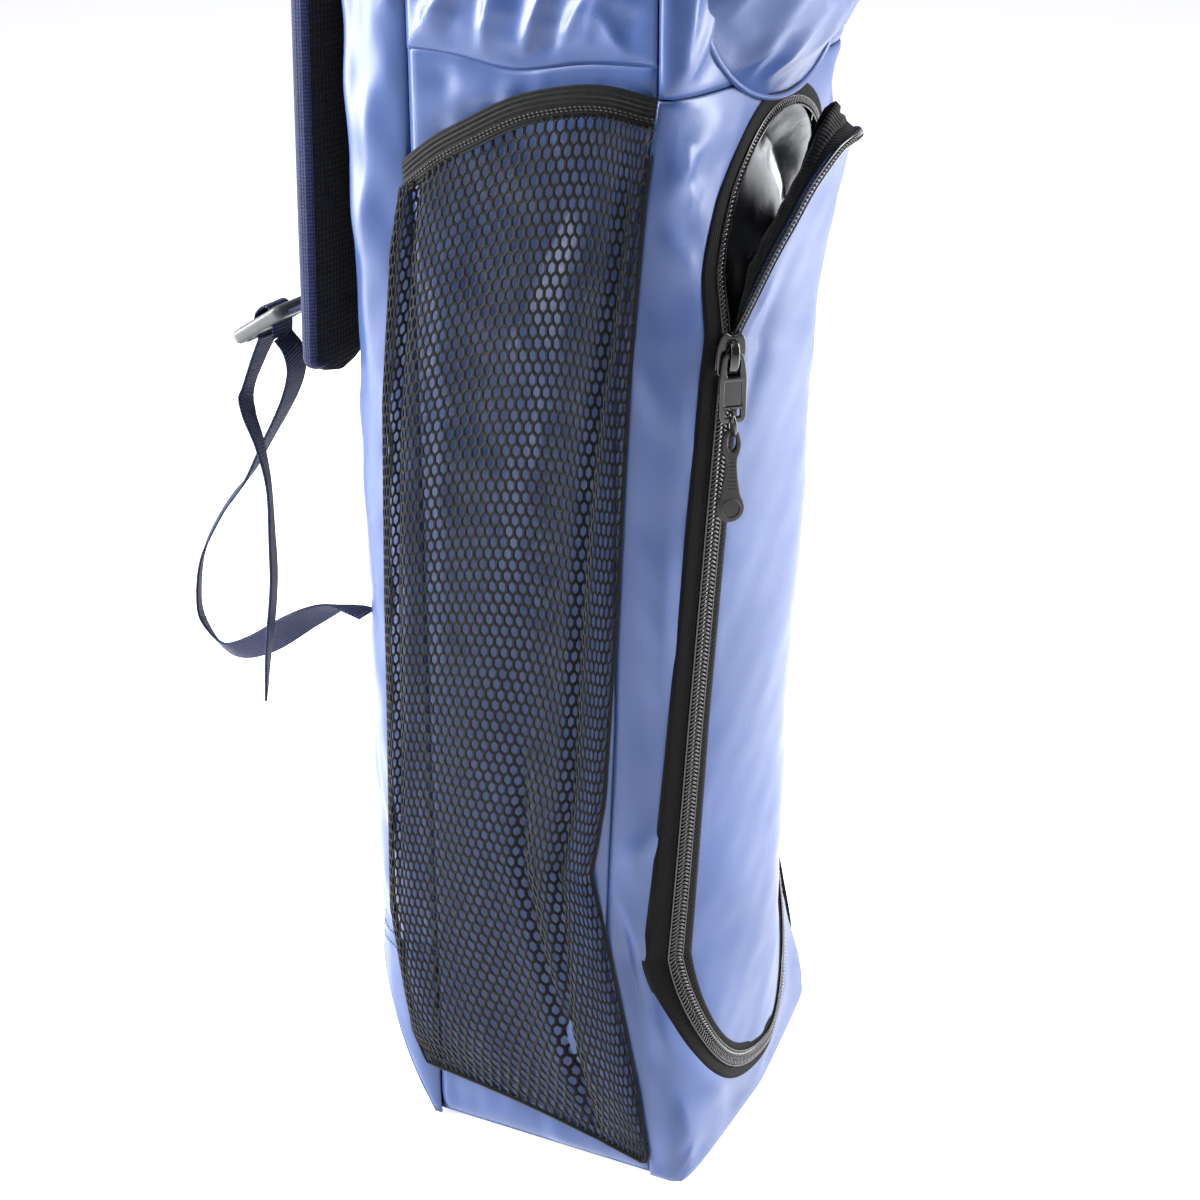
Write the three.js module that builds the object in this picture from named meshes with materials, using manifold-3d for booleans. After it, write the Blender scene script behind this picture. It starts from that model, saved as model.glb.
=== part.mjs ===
// A tall, slim sports backpack for long sticks or rackets, standing upright on its base.
// Millimetres. +X is the wearer's side to side, -Y is the front of the bag, +Z is up.
// The origin lies on the underside of the base.
import * as THREE from 'three';
import Module from 'manifold-3d';
import { mergeVertices } from 'three/addons/utils/BufferGeometryUtils.js';

// ---------------------------------------------------------------- driving dimensions

const GAP = 0.3;                 // between pieces that touch
const WALL = 3;                  // coated fabric with its foam and lining
const HALF_WIDTH = 118;          // middle of the bag to the outside of a side panel
const BACK_Y = 114;              // outside of the back panel
const REAR_RADIUS = 46;          // round edge between side and back
const SIDE_SEAM_Y = 56;          // upright seam between a side panel and a rear strip
const SIDE_SEAM_Z = 668;         // level seam between the lower and the upper side panel
const RIM_Z = 888;               // top edge of the main compartment
const HEEL_Y = 62;               // where the base ends and the heel starts to rise
const HEEL_Z = 100;              // top of the heel, at the back

// The bag's front in plan: where the flat side ends, how far the crest stands out, and how
// square the corner between them is on the left and on the right, at a few heights. The
// half-empty pocket has slumped to the left, so its right corner is much flatter.
const LOWER_FRONT = [
  { z: 4, side: -90, crest: -106, square: 4.5, right: 4.5 },
  { z: 60, side: -80, crest: -117, square: 3, right: 2.2 },
  { z: 150, side: -60, crest: -122, square: 2.2, right: 1.35 },
  { z: 300, side: -66, crest: -123, square: 2.2, right: 1.2 },
  { z: 505, side: -66, crest: -131.5, square: 2.2, right: 1.2 },
  { z: 528, side: -69, crest: -132, square: 2.2, right: 1.2 },
  { z: 560, side: -73, crest: -121, square: 2.3, right: 1.5 },
  { z: 600, side: -80, crest: -113, square: 2.5, right: 2 },
  { z: 650, side: -88, crest: -108, square: 3, right: 3 },
];
// The flap keeps the full curve that the pocket has when it is packed and zipped up.
const FLAP_FRONT = [
  { z: 505, side: -66, crest: -131.5, square: 2.2, right: 1.2 },
  { z: 600, side: -80, crest: -134, square: 2.3, right: 1.3 },
  { z: 650, side: -88, crest: -124, square: 2.4, right: 1.6 },
];
const UPPER_FRONT = [
  { z: 650.4, side: -88, crest: -108, square: 3, right: 3 },
  { z: RIM_Z, side: -88, crest: -104, square: 3, right: 3 },
];

// The egg-shaped zip of the lower front pocket: a wide circle below and a smaller one above.
const OVAL_LOW = { z: 142, radius: 100 };
const OVAL_HIGH = { z: 548, radius: 84 };
const TAPE = 11;                 // outer edge of the zip tape, from the middle of the chain
const TAPE_THICK = 1.5;
const CHAIN = 3.6;               // half the chain's width, seen from the front
const COVER_TOP = 527;           // top edge of the part of the cover that stays zipped
const FLAP_FOOT = 533;           // bottom edge of the part that folds forward
const FLAP_HINGE = { y: -134.5, z: 531 };
const FLAP_OPEN = 12;            // degrees that the flap leans forward at rest

const SLIDER_Z = 519;            // middle of the front slider
const SLIDER_LOW_Z = 155;        // a lower point on its straight run
const COIL_STAND = 2;            // from the bag's surface to the middle of the coil, at the slider
const SLIDER_TURN = -48.6;       // degrees about +Z, so that the slider faces outwards

const INNER_WALL_Y = -76;        // back wall of the lower front pocket
const INNER_WALL_RIGHT = 92;     // its right edge, inside the flatter right corner
const MESH_BULGE = 16;           // how far a mesh pocket stands off its side panel
const UPPER_POCKET = { half: 104, foot: 638, shoulder: 712, top: 850, crest: -142 };

const STRAP = { x: 78, width: 64, thick: 12 };
const LOCK = { y: 164, z: 506, tilt: 58, width: 34, length: 38 };
const WEB_WIDTH = 20;
const WEB_THICK = 1.6;
const HANDLE = { y: 121, z: 876 };
const LID_HINGE = { y: BACK_Y, z: RIM_Z + 0.6 };

// ---------------------------------------------------------------- materials

const finish = (color, roughness, metalness = 0) =>
  new THREE.MeshStandardMaterial({ color, roughness, metalness });
const coatedBlue = finish(0x4a66a8, 0.4);
const foamBlack = finish(0x15171c, 0.9);
const meshBlack = finish(0x1c1d1f, 0.85);
const bindingBlack = finish(0x141518, 0.8);
const tapeBlack = finish(0x1b1c1d, 0.8);
const coilBlack = finish(0x101011, 0.45);
const foilSilver = finish(0xb9bbbf, 0.25, 0.9);
const strapNavy = finish(0x1c2548, 0.8);
const webbingNavy = finish(0x262e5c, 0.75);
const sliderBlack = finish(0x0c0c0d, 0.3, 0.7);
const rubberBlack = finish(0x141415, 0.6);
const lockGrey = finish(0x55585c, 0.5);
const boardGrey = finish(0x3a3b3d, 0.8);

// ---------------------------------------------------------------- solids

const wasm = await Module();
wasm.setup();
const { Vector3 } = THREE;

// Directions in which a flat outline's two coordinates and its thickness run.
const X_AXIS = new Vector3(1, 0, 0);
const Y_AXIS = new Vector3(0, 1, 0);
const Z_AXIS = new Vector3(0, 0, 1);
const ACROSS = {
  x: new THREE.Matrix4().makeBasis(Y_AXIS, Z_AXIS, X_AXIS),   // outline in (y, z)
  y: new THREE.Matrix4().makeBasis(Z_AXIS, X_AXIS, Y_AXIS),   // outline in (z, x)
  z: new THREE.Matrix4().makeBasis(X_AXIS, Y_AXIS, Z_AXIS),   // outline in (x, y)
};

// A flat outline given thickness along one axis, from one place to another.
function slab(axis, outline, from, to, holes = []) {
  const turn = axis === 'y' ? ([x, z]) => new THREE.Vector2(z, x) : ([a, b]) => new THREE.Vector2(a, b);
  const points = outline.map(turn);
  if (THREE.ShapeUtils.isClockWise(points)) points.reverse();
  const shape = new THREE.Shape(points);
  shape.holes = holes.map((hole) => new THREE.Path(hole.map(turn)));
  const geometry = new THREE.ExtrudeGeometry(shape, { depth: to - from, bevelEnabled: false });
  geometry.translate(0, 0, from);
  return geometry.applyMatrix4(ACROSS[axis]);
}

// A geometry as a manifold solid, and a solid as a geometry.
function solid(geometry) {
  const bare = geometry.clone();
  bare.deleteAttribute('normal');
  bare.deleteAttribute('uv');
  const merged = mergeVertices(bare, 1e-4);
  const vertProperties = new Float32Array(merged.attributes.position.array);
  const triVerts = new Uint32Array(merged.index.array);
  return new wasm.Manifold(new wasm.Mesh({ numProp: 3, vertProperties, triVerts }));
}

function skin(manifold) {
  const mesh = manifold.getMesh();
  const geometry = new THREE.BufferGeometry();
  geometry.setAttribute('position', new THREE.BufferAttribute(mesh.vertProperties, 3));
  geometry.setIndex(new THREE.BufferAttribute(mesh.triVerts, 1));
  return geometry;
}

// A closed body through level rings that all have the same number of points. From the point
// numbered inner on, faces are split along their other diagonal, so nested skins stay parallel.
function loft(rings, inner = Infinity) {
  const count = rings[0].length;
  const last = (rings.length - 1) * count;
  const index = [];
  for (let level = 0; level < rings.length - 1; level++) {
    for (let i = 0; i < count; i++) {
      const a = level * count + i;
      const b = level * count + (i + 1) % count;
      if (i < inner) index.push(a, b, b + count, a, b + count, a + count);
      else index.push(a, b, a + count, b, b + count, a + count);
    }
  }
  const cap = (ring) => THREE.ShapeUtils.triangulateShape(ring.map((p) => new THREE.Vector2(p.x, p.y)), []);
  for (const [a, b, c] of cap(rings[0])) index.push(c, b, a);
  for (const [a, b, c] of cap(rings.at(-1))) index.push(last + a, last + b, last + c);
  const geometry = new THREE.BufferGeometry().setFromPoints(rings.flat());
  geometry.setIndex(index);
  return geometry;
}

const box = (x0, x1, y0, y1, z0, z1) => slab('z', [[x0, y0], [x1, y0], [x1, y1], [x0, y1]], z0, z1);
const belowZ = (z) => solid(box(-400, 400, -400, 400, -400, z));
const aboveZ = (z) => solid(box(-400, 400, -400, 400, z, 1400));

// ---------------------------------------------------------------- the bag's outlines

// The front's plan curve at a station, grown outwards by an offset, from +X round to -X.
function frontCurve({ z, side, crest, square, right }, offset, steps = 18) {
  const points = [];
  for (let i = 0; i <= steps; i++) {
    const angle = Math.PI * i / steps;
    const cos = Math.cos(angle);
    const power = 2 / (cos > 0 ? right : square);
    const across = Math.sign(cos) * Math.abs(cos) ** power;
    const out = Math.abs(Math.sin(angle)) ** power;
    const clean = i === steps / 2 ? 0 : across;
    points.push(new Vector3((HALF_WIDTH + offset) * clean, side + (crest - offset - side) * out, z));
  }
  return points;
}

// A curved skin between two offsets of the front. Left side first, so that the ring runs
// anticlockwise seen from above.
function frontShell(stations, outer, inner) {
  const rings = stations.map((station) => [
    ...frontCurve(station, outer).reverse(),
    ...frontCurve(station, inner),
  ]);
  return loft(rings, rings[0].length / 2);
}

// The zip's egg outline, grown by an offset.
function oval(offset, steps = 10) {
  const rise = OVAL_HIGH.z - OVAL_LOW.z;
  const tangent = Math.asin((OVAL_LOW.radius - OVAL_HIGH.radius) / rise);
  const arc = (circle, from, to) => Array.from({ length: steps + 1 }, (_, i) => {
    const angle = from + (to - from) * i / steps;
    const radius = circle.radius + offset;
    return [radius * Math.cos(angle), circle.z + radius * Math.sin(angle)];
  });
  return [
    ...arc(OVAL_HIGH, tangent, Math.PI - tangent),
    ...arc(OVAL_LOW, Math.PI - tangent, 2 * Math.PI + tangent),
  ];
}
const ovalPlug = (offset) => solid(slab('y', oval(offset), -300, 0));
const ovalRing = (outer, inner) => ovalPlug(outer).subtract(ovalPlug(inner));

// Where the middle of the zip's straight left run lies at a height.
function zipRun(z) {
  const rise = OVAL_HIGH.z - OVAL_LOW.z;
  const tangent = Math.asin((OVAL_LOW.radius - OVAL_HIGH.radius) / rise);
  const x = -(OVAL_LOW.radius - (z - OVAL_LOW.z) * Math.sin(tangent)) / Math.cos(tangent);
  const above = LOWER_FRONT.findIndex((station) => station.z > z);
  const [low, high] = [LOWER_FRONT[above - 1], LOWER_FRONT[above]];
  const part = (z - low.z) / (high.z - low.z);
  const mix = (key) => low[key] + (high[key] - low[key]) * part;
  const square = mix('square');
  const out = (1 - Math.abs(x / HALF_WIDTH) ** square) ** (1 / square);
  return new Vector3(x, mix('side') + (mix('crest') - mix('side')) * out, z);
}

// The bag's whole plan at the rim, inset by an amount, anticlockwise.
function rimPlan(inset) {
  const front = frontCurve(UPPER_FRONT[1], -inset).reverse().map((p) => [p.x, p.y]);
  const radius = REAR_RADIUS - inset;
  const centre = [HALF_WIDTH - REAR_RADIUS, BACK_Y - REAR_RADIUS];
  const corner = (flip) => Array.from({ length: 7 }, (_, i) => {
    const angle = Math.PI / 2 * i / 6;
    return [flip * (centre[0] + radius * Math.cos(angle)), centre[1] + radius * Math.sin(angle)];
  });
  return [...front, ...corner(1), ...corner(-1).reverse()];
}

// ---------------------------------------------------------------- assembly helpers

const pack = new THREE.Group();

function add(name, geometry, material, parent = pack) {
  const mesh = new THREE.Mesh(geometry, material);
  mesh.name = name;
  parent.add(mesh);
  return mesh;
}

const SIDES = [['left', -1], ['right', 1]];
const ordered = (a, b) => [Math.min(a, b), Math.max(a, b)];

// ---------------------------------------------------------------- base, heel and back

const inside = HALF_WIDTH - WALL - GAP;
add('base_panel', box(-inside, inside, -86, HEEL_Y - 4.4, 0, 5), coatedBlue);
add('base_board', box(-100, 100, -72, 50, 5 + GAP, 9), boardGrey);

const heelBand = [[HEEL_Y - 4, 0], [HEEL_Y, 0], [BACK_Y, HEEL_Z], [BACK_Y - 4, HEEL_Z]];
const heelPlan = solid(slab('z', rimPlan(0), -1, HEEL_Z + 1));
add('heel_panel', skin(solid(slab('x', heelBand, -HALF_WIDTH, HALF_WIDTH)).intersect(heelPlan)), coatedBlue);

const flatBack = HALF_WIDTH - REAR_RADIUS;
const backY = [BACK_Y - WALL, BACK_Y];
const backX = flatBack - GAP;
add('back_panel', box(-backX, backX, ...backY, HEEL_Z + GAP, RIM_Z), foamBlack);
add('back_sheet', box(-66, 66, BACK_Y - WALL - 4.3, BACK_Y - WALL - GAP, 118, 870), boardGrey);

const roundedBox = (half, low, high, radius) => {
  const corners = [[half, low, -90], [half, high, 0], [-half, high, 90], [-half, low, 180]];
  return corners.flatMap(([x, z, start]) => Array.from({ length: 4 }, (_, i) => {
    const angle = (start + 30 * i) * Math.PI / 180;
    return [x - Math.sign(x) * radius + radius * Math.cos(angle),
      z + (z === low ? radius : -radius) + radius * Math.sin(angle)];
  }));
};
add('back_pad_lower', slab('y', roundedBox(40, 140, 450, 18), BACK_Y + GAP, BACK_Y + 10), foamBlack);
add('back_pad_upper', slab('y', roundedBox(40, 470, 800, 18), BACK_Y + GAP, BACK_Y + 10), foamBlack);

// ---------------------------------------------------------------- sides

const heelSlope = (BACK_Y - HEEL_Y) / HEEL_Z;
const heelLine = (z) => [HEEL_Y - 4.4 + z * heelSlope, z];
const heelCut = [heelLine(-2), [260, -2], [260, 280], heelLine(280)];
const sideEdge = LOWER_FRONT.map(({ z, side }) => [side + GAP, z === 4 ? 0 : z]);
const lowerSide = [[SIDE_SEAM_Y - GAP, 0], [SIDE_SEAM_Y - GAP, SIDE_SEAM_Z],
  [sideEdge.at(-1)[0], SIDE_SEAM_Z], ...sideEdge.slice().reverse()];
const upperSide = [[UPPER_FRONT[0].side + GAP, SIDE_SEAM_Z + GAP], [SIDE_SEAM_Y - GAP, SIDE_SEAM_Z + GAP],
  [SIDE_SEAM_Y - GAP, RIM_Z], [UPPER_FRONT[1].side + GAP, RIM_Z]];

const MESH_OUTLINE = [[-86, 12], [66, 38], [86, 120], [80, 400], [58, 607], [-10, 648], [-87, 655],
  [-71, 500], [-63, 300], [-54, 200], [-64, 110]];
const MESH_INSIDE = [[-80, 17], [63, 42], [83, 120], [77, 400], [55, 690], [-10, 690], [-84, 690],
  [-68, 500], [-60, 300], [-51, 200], [-60, 110]];
const BINDING = [[58, 592], [58, 608], [-10, 649], [-87, 656], [-85, 640], [-10, 633]];

for (const [word, side] of SIDES) {
  const at = (inner, outer) => ordered(side * inner, side * outer);
  add(`side_panel_${word}`, slab('x', lowerSide, ...at(HALF_WIDTH - WALL, HALF_WIDTH)), coatedBlue);
  add(`upper_side_panel_${word}`, slab('x', upperSide, ...at(HALF_WIDTH - WALL, HALF_WIDTH)), coatedBlue);

  // The strip that turns the corner to the back, cut off by the heel.
  const corner = (radius) => Array.from({ length: 7 }, (_, i) => {
    const angle = Math.PI / 2 * i / 6;
    return [side * (flatBack + radius * Math.cos(angle)), BACK_Y - REAR_RADIUS + radius * Math.sin(angle)];
  });
  const strip = [[side * HALF_WIDTH, SIDE_SEAM_Y], ...corner(REAR_RADIUS),
    ...corner(REAR_RADIUS - WALL).reverse(), [side * (HALF_WIDTH - WALL), SIDE_SEAM_Y]];
  const whole = solid(slab('z', side > 0 ? strip : strip.slice().reverse(), 0, RIM_Z));
  const cutter = solid(slab('x', heelCut, -200, 200));
  add(`rear_strip_${word}`, skin(whole.subtract(cutter)), coatedBlue);

  // A mesh pocket open at its top and towards the side panel.
  const outside = solid(slab('x', MESH_OUTLINE, ...at(HALF_WIDTH + GAP, HALF_WIDTH + MESH_BULGE)));
  const hollow = solid(slab('x', MESH_INSIDE, ...at(HALF_WIDTH - 1, HALF_WIDTH + MESH_BULGE - 2.5)));
  add(`mesh_pocket_${word}`, skin(outside.subtract(hollow)), meshBlack);
  const bindingX = at(HALF_WIDTH + MESH_BULGE + GAP, HALF_WIDTH + MESH_BULGE + 2.5);
  add(`mesh_binding_${word}`, slab('x', BINDING, ...bindingX), bindingBlack);
}

// ---------------------------------------------------------------- front pocket

const frontSkin = (stations = LOWER_FRONT) => solid(frontShell(stations, 0, -WALL));
const tapeSkin = (stations = LOWER_FRONT) => solid(frontShell(stations, TAPE_THICK + GAP, GAP));
const coilSkin = (stations = LOWER_FRONT) => solid(frontShell(stations, 3.6, 0.6));
const innerWall = inside - 4;

add('inner_front_wall', box(-innerWall, INNER_WALL_RIGHT, INNER_WALL_Y, INNER_WALL_Y + 3, 10, 640),
  foamBlack);
add('front_facing', skin(frontSkin().subtract(ovalPlug(6))), coatedBlue);
add('upper_front_panel', frontShell(UPPER_FRONT, 0, -WALL), coatedBlue);
add('pocket_cover', skin(frontSkin().intersect(ovalPlug(-6)).intersect(belowZ(COVER_TOP))), coatedBlue);

const chainTop = SLIDER_Z - 13;
const outerTape = tapeSkin().intersect(ovalRing(TAPE, CHAIN + 1));
const innerTape = tapeSkin().intersect(ovalRing(-CHAIN - 1, -TAPE));
add('front_zip_outer_tape', skin(outerTape), tapeBlack);
add('front_zip_inner_tape', skin(innerTape.intersect(belowZ(COVER_TOP))), tapeBlack);
add('front_zip_chain', skin(coilSkin().intersect(ovalRing(CHAIN, -CHAIN)).intersect(belowZ(chainTop))),
  coilBlack);
add('front_zip_open_coil', skin(coilSkin().intersect(ovalRing(4.2, 0.8)).intersect(aboveZ(FLAP_FOOT))),
  coilBlack);

// The foil tray inside the pocket: a back and a rim.
const tray = solid(slab('y', oval(-18), INNER_WALL_Y - 6, INNER_WALL_Y - GAP));
const trayHollow = solid(slab('y', oval(-20), INNER_WALL_Y - 20, INNER_WALL_Y - 2));
add('pocket_lining', skin(tray.subtract(trayHollow)), foilSilver);

// The unzipped top of the cover leans forward about a level line just in front of it.
const flap = new THREE.Group();
flap.position.set(0, FLAP_HINGE.y, FLAP_HINGE.z);
flap.rotation.x = THREE.MathUtils.degToRad(FLAP_OPEN);
pack.add(flap);
const onFlap = (manifold) => skin(manifold.intersect(aboveZ(FLAP_FOOT)))
  .translate(0, -FLAP_HINGE.y, -FLAP_HINGE.z);
add('pocket_flap', onFlap(frontSkin(FLAP_FRONT).intersect(ovalPlug(-6))), coatedBlue, flap);
add('flap_zip_tape', onFlap(tapeSkin(FLAP_FRONT).intersect(ovalRing(-CHAIN - 1, -TAPE))), tapeBlack, flap);
add('flap_coil', onFlap(coilSkin(FLAP_FRONT).intersect(ovalRing(-0.8, -4.2))), coilBlack, flap);

// ---------------------------------------------------------------- front slider and its pull

// A sturdy plate over the coil with a bridge that the pull tab hangs from. Local -Y faces
// outwards and local +Z follows the chain.
function sliderGeometry() {
  const plate = [[-7, -12], [-4, -12.6], [4, -12.6], [7, -12], [7.5, 6], [4.5, 12], [-4.5, 12], [-7.5, 6]];
  const bridge = [[-6, -9], [-11, -8], [-13.4, -5], [-13.4, 4], [-11, 7], [-6, 8]];
  const bridgeHole = [[-7, -6.4], [-10, -5.6], [-11.4, -4], [-11.4, 2.8], [-10, 4.6], [-7, 5]];
  const body = solid(slab('y', plate, -6.6, -3.4));
  const arch = solid(slab('x', bridge, -2.6, 2.6)).subtract(solid(slab('x', bridgeHole, -4, 4)));
  return skin(body.add(arch.intersect(solid(box(-9, 9, -14, -6.2, -14, 14)))));
}

const runTop = zipRun(SLIDER_Z);
const runLow = zipRun(SLIDER_LOW_Z);
const along = runTop.clone().sub(runLow).normalize();
const turn = THREE.MathUtils.degToRad(SLIDER_TURN);
const outwards = new Vector3(Math.sin(turn), -Math.cos(turn), 0);
outwards.addScaledVector(along, -outwards.dot(along)).normalize();
const sliderY = outwards.clone().negate();
const sliderX = sliderY.clone().cross(along);
const slider = new THREE.Group();
slider.position.copy(runTop).addScaledVector(outwards, COIL_STAND);
slider.quaternion.setFromRotationMatrix(new THREE.Matrix4().makeBasis(sliderX, sliderY, along));
pack.add(slider);
add('front_slider', sliderGeometry(), sliderBlack, slider);

// The tab, ring and rubber puller hang straight down, one below the other.
const pull = new THREE.Group();
pull.position.copy(runTop).addScaledVector(outwards, COIL_STAND + 9.4);
pull.rotation.z = turn;
pack.add(pull);

const ringOf = (cx, cz, rx, rz, steps = 12) => Array.from({ length: steps }, (_, i) => {
  const angle = 2 * Math.PI * i / steps;
  return [cx + rx * Math.cos(angle), cz + rz * Math.sin(angle)];
});
const tabOutline = [[-5, 1.4], [-6, -2], [-7.4, -12], [-7.4, -33], [-6, -36], [6, -36], [7.4, -33],
  [7.4, -12], [6, -2], [5, 1.4]];
const tabHoles = [
  [[-3.4, -1.4], [3.4, -1.4], [3.4, -12], [-3.4, -12]],
  [[-4, -15], [4, -15], [4, -26], [-4, -26]],
  [[-3.2, -28.2], [3.2, -28.2], [3.2, -32.6], [-3.2, -32.6]],
];
add('pull_tab', slab('y', tabOutline, -1.2, 1.2, tabHoles), sliderBlack, pull);

const ring = add('pull_ring', new THREE.TorusGeometry(6.2, 0.8, 6, 20), sliderBlack, pull);
ring.position.set(0, 0, -36.6);
ring.rotation.y = Math.PI / 2;

// A forked loop, a short trunk and a round end, cast in one piece.
const pullerOutline = [
  ...ringOf(0, -8, 5.2, 9, 12).slice(0, 7),
  [-3.2, -16], [-3.6, -24], [-5.2, -36],
  ...ringOf(0, -44, 7.8, 7.8, 14).slice(6, 14),
  ...ringOf(0, -44, 7.8, 7.8, 14).slice(0, 2),
  [5.2, -36], [3.6, -24], [3.2, -16],
];
const puller = add('rubber_puller',
  slab('y', pullerOutline, -1.9, 1.9, [ringOf(0, -6.6, 2.9, 5.4, 10)]), rubberBlack, pull);
puller.position.set(0, 0, -40.2);

// ---------------------------------------------------------------- upper front pocket

const pocketFoot = (half, foot, shoulder, top) => {
  const steps = 10;
  const smile = Array.from({ length: steps + 1 }, (_, i) => {
    const angle = Math.PI + Math.PI * i / steps;
    return [half * Math.cos(angle), shoulder + (shoulder - foot) * Math.sin(angle)];
  });
  return [[half, top], [-half, top], ...smile];
};
const { half, foot, shoulder, top, crest } = UPPER_POCKET;
const pocketPlan = (grow) => [0, 1].map((level) => [
  ...frontCurve({ z: level ? 900 : 600, side: -70, crest: crest, square: 2.6, right: 1.7 }, grow).reverse(),
]);
const pocketOuter = solid(loft(pocketPlan(0)))
  .intersect(solid(slab('y', pocketFoot(half, foot, shoulder, top), -200, -96)));
const pocketInner = solid(loft(pocketPlan(-WALL)))
  .intersect(solid(slab('y', pocketFoot(half - 3, foot + 4, shoulder + 2, top + 20), -200, 0)));
const coreLow = solid(loft(LOWER_FRONT.map((station) =>
  frontCurve(station, TAPE_THICK + 2 * GAP).reverse())));
const coreHigh = solid(loft([{ ...UPPER_FRONT[0], z: 640 }, { ...UPPER_FRONT[1], z: 920 }]
  .map((station) => frontCurve(station, GAP).reverse())));
add('upper_front_pocket', skin(pocketOuter.subtract(pocketInner).subtract(coreLow).subtract(coreHigh)),
  coatedBlue);

// Its zip runs along the top edge of the pocket; the slider waits at the left end.
const topTape = [[-70, -138], [70, -138], [70, -129], [-70, -129]];
add('upper_zip_tape', slab('z', topTape, top + GAP, top + 2), tapeBlack);
const upperSlider = new THREE.Group();
upperSlider.position.set(-58, -133.5, top + 2);
pack.add(upperSlider);
const smallSlider = () => slab('z', [[-9, -4.5], [7, -5], [9, -3], [9, 3], [7, 5], [-9, 4.5]], 0.4, 3.2);
const smallPull = () => slab('z', [[0, -3.6], [24, -4.2], [27, -2], [27, 2], [24, 4.2], [0, 3.6]], 4, 6,
  [[[18, -1.8], [23, -1.8], [23, 1.8], [18, 1.8]]]);
add('upper_slider', smallSlider(), sliderBlack, upperSlider);
add('upper_slider_pull', smallPull(), sliderBlack, upperSlider);

// ---------------------------------------------------------------- lid, main zip and handle

const roof = (drop) => [[-130, RIM_Z - 10], [130, RIM_Z - 10], [130, 900 - drop], [112, 920 - drop],
  [70, 933 - drop], [-10, 937 - drop], [-74, 928 - drop], [-102, 912 - drop], [-130, 894 - drop]];
const lidBlock = (inset, low, drop) => solid(slab('z', rimPlan(inset), low, 1000))
  .intersect(solid(slab('x', roof(drop), -200, 200)));
add('top_lid', skin(lidBlock(0, LID_HINGE.z, 0).subtract(lidBlock(WALL, LID_HINGE.z - 4, WALL))), coatedBlue);

// Tapes and coil run round the sides and the front, just outside the rim.
const zipBand = (outer, inner, low, high) => solid(slab('z', rimPlan(-outer), low, high))
  .subtract(solid(slab('z', rimPlan(-inner), low - 1, high + 1)))
  .intersect(solid(box(-200, 200, -200, 62, 0, 1000)));
add('main_zip_body_tape', skin(zipBand(1.8, GAP, RIM_Z - 11, RIM_Z - 3.4)), tapeBlack);
add('main_zip_chain', skin(zipBand(3, GAP, RIM_Z - 3, RIM_Z + 3.6)), coilBlack);
add('main_zip_lid_tape', skin(zipBand(1.8, -0.4, RIM_Z + 4, RIM_Z + 11).subtract(lidBlock(-GAP, LID_HINGE.z - 1, -GAP))),
  tapeBlack);

const mainSlider = new THREE.Group();
mainSlider.position.set(-HALF_WIDTH - 3.2, 46, RIM_Z + 0.4);
mainSlider.quaternion.setFromRotationMatrix(new THREE.Matrix4().makeBasis(
  new Vector3(0, -1, 0), new Vector3(0, 0, 1), new Vector3(-1, 0, 0)));
pack.add(mainSlider);
add('main_slider', smallSlider(), sliderBlack, mainSlider);
add('main_slider_pull', smallPull(), sliderBlack, mainSlider);

const handleOuter = [[-38, 3], [-38, -20], [-30, -36], [0, -44], [30, -36], [38, -20], [38, 3],
  [26, 3], [26, -14], [20, -24], [0, -30], [-20, -24], [-26, -14], [-26, 3]];
const handle = add('haul_handle', slab('y', handleOuter, -2, 2), webbingNavy);
handle.position.set(0, HANDLE.y, HANDLE.z);

// ---------------------------------------------------------------- harness

add('strap_yoke', slab('y', [[-108, 848], [108, 848], [104, 884], [-104, 884]], BACK_Y + GAP, BACK_Y + 3),
  foamBlack);

// The strap's side profile, from its sewn top end to its free lower end.
const STRAP_ROUTE = [[122, 862, 7], [127, 800, 11], [132, 690, STRAP.thick], [136.5, 560, STRAP.thick],
  [139.5, 474, STRAP.thick - 2]];
const profile = [
  ...STRAP_ROUTE.map(([y, z, thick]) => [y - thick / 2, z]),
  ...STRAP_ROUTE.map(([y, z, thick]) => [y + thick / 2, z]).reverse(),
];
const strapFace = (centre) => {
  const reach = STRAP.width / 2;
  const end = Array.from({ length: 9 }, (_, i) => {
    const angle = Math.PI + Math.PI * i / 8;
    return [centre + reach * Math.cos(angle), 494 + 20 * Math.sin(angle)];
  });
  return [[centre + reach, 900], [centre - reach, 900], ...end];
};

// Free webbing on the left: from the lower anchor up to the lock, and from the lock down.
const LOOP_ROUTE = [[-82, 118.6, 322], [-82, 130, 323.5], [-79, 144, 321], [-73, 172, 304], [-70, 208, 279],
  [-70, 233, 271], [-68, 252, 286], [-67, 255, 306], [-66, 249, 335], [-66, 230, 367], [-66, 211, 390],
  [-66, 197, 413], [-68, 177, 445], [-72, 167, 466], [-76, 166, 480], [-78, 171.5, 489]];
// The right loop has been let out to hang straight down close behind the bag.
const RIGHT_LOOP_ROUTE = [[-82, 118.6, 322], [-82, 126, 318], [-83, 134, 300], [-84, 140, 270], [-86, 147, 240],
  [-88, 158, 226], [-88, 167, 236], [-87, 170, 260], [-85, 168, 300], [-82, 166, 350], [-80, 164, 400],
  [-78.5, 163, 450], [-77.5, 165, 476], [-78, 171.5, 489]];
const TAIL_ROUTE = [[-78, 181.4, 487.5], [-80, 189, 471], [-85, 194, 453], [-91, 190, 442], [-96, 179.5, 424],
  [-96, 175, 400], [-96, 175, 368], [-96, 176, 335], [-96, 183, 288], [-95, 187, 260]];

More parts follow.
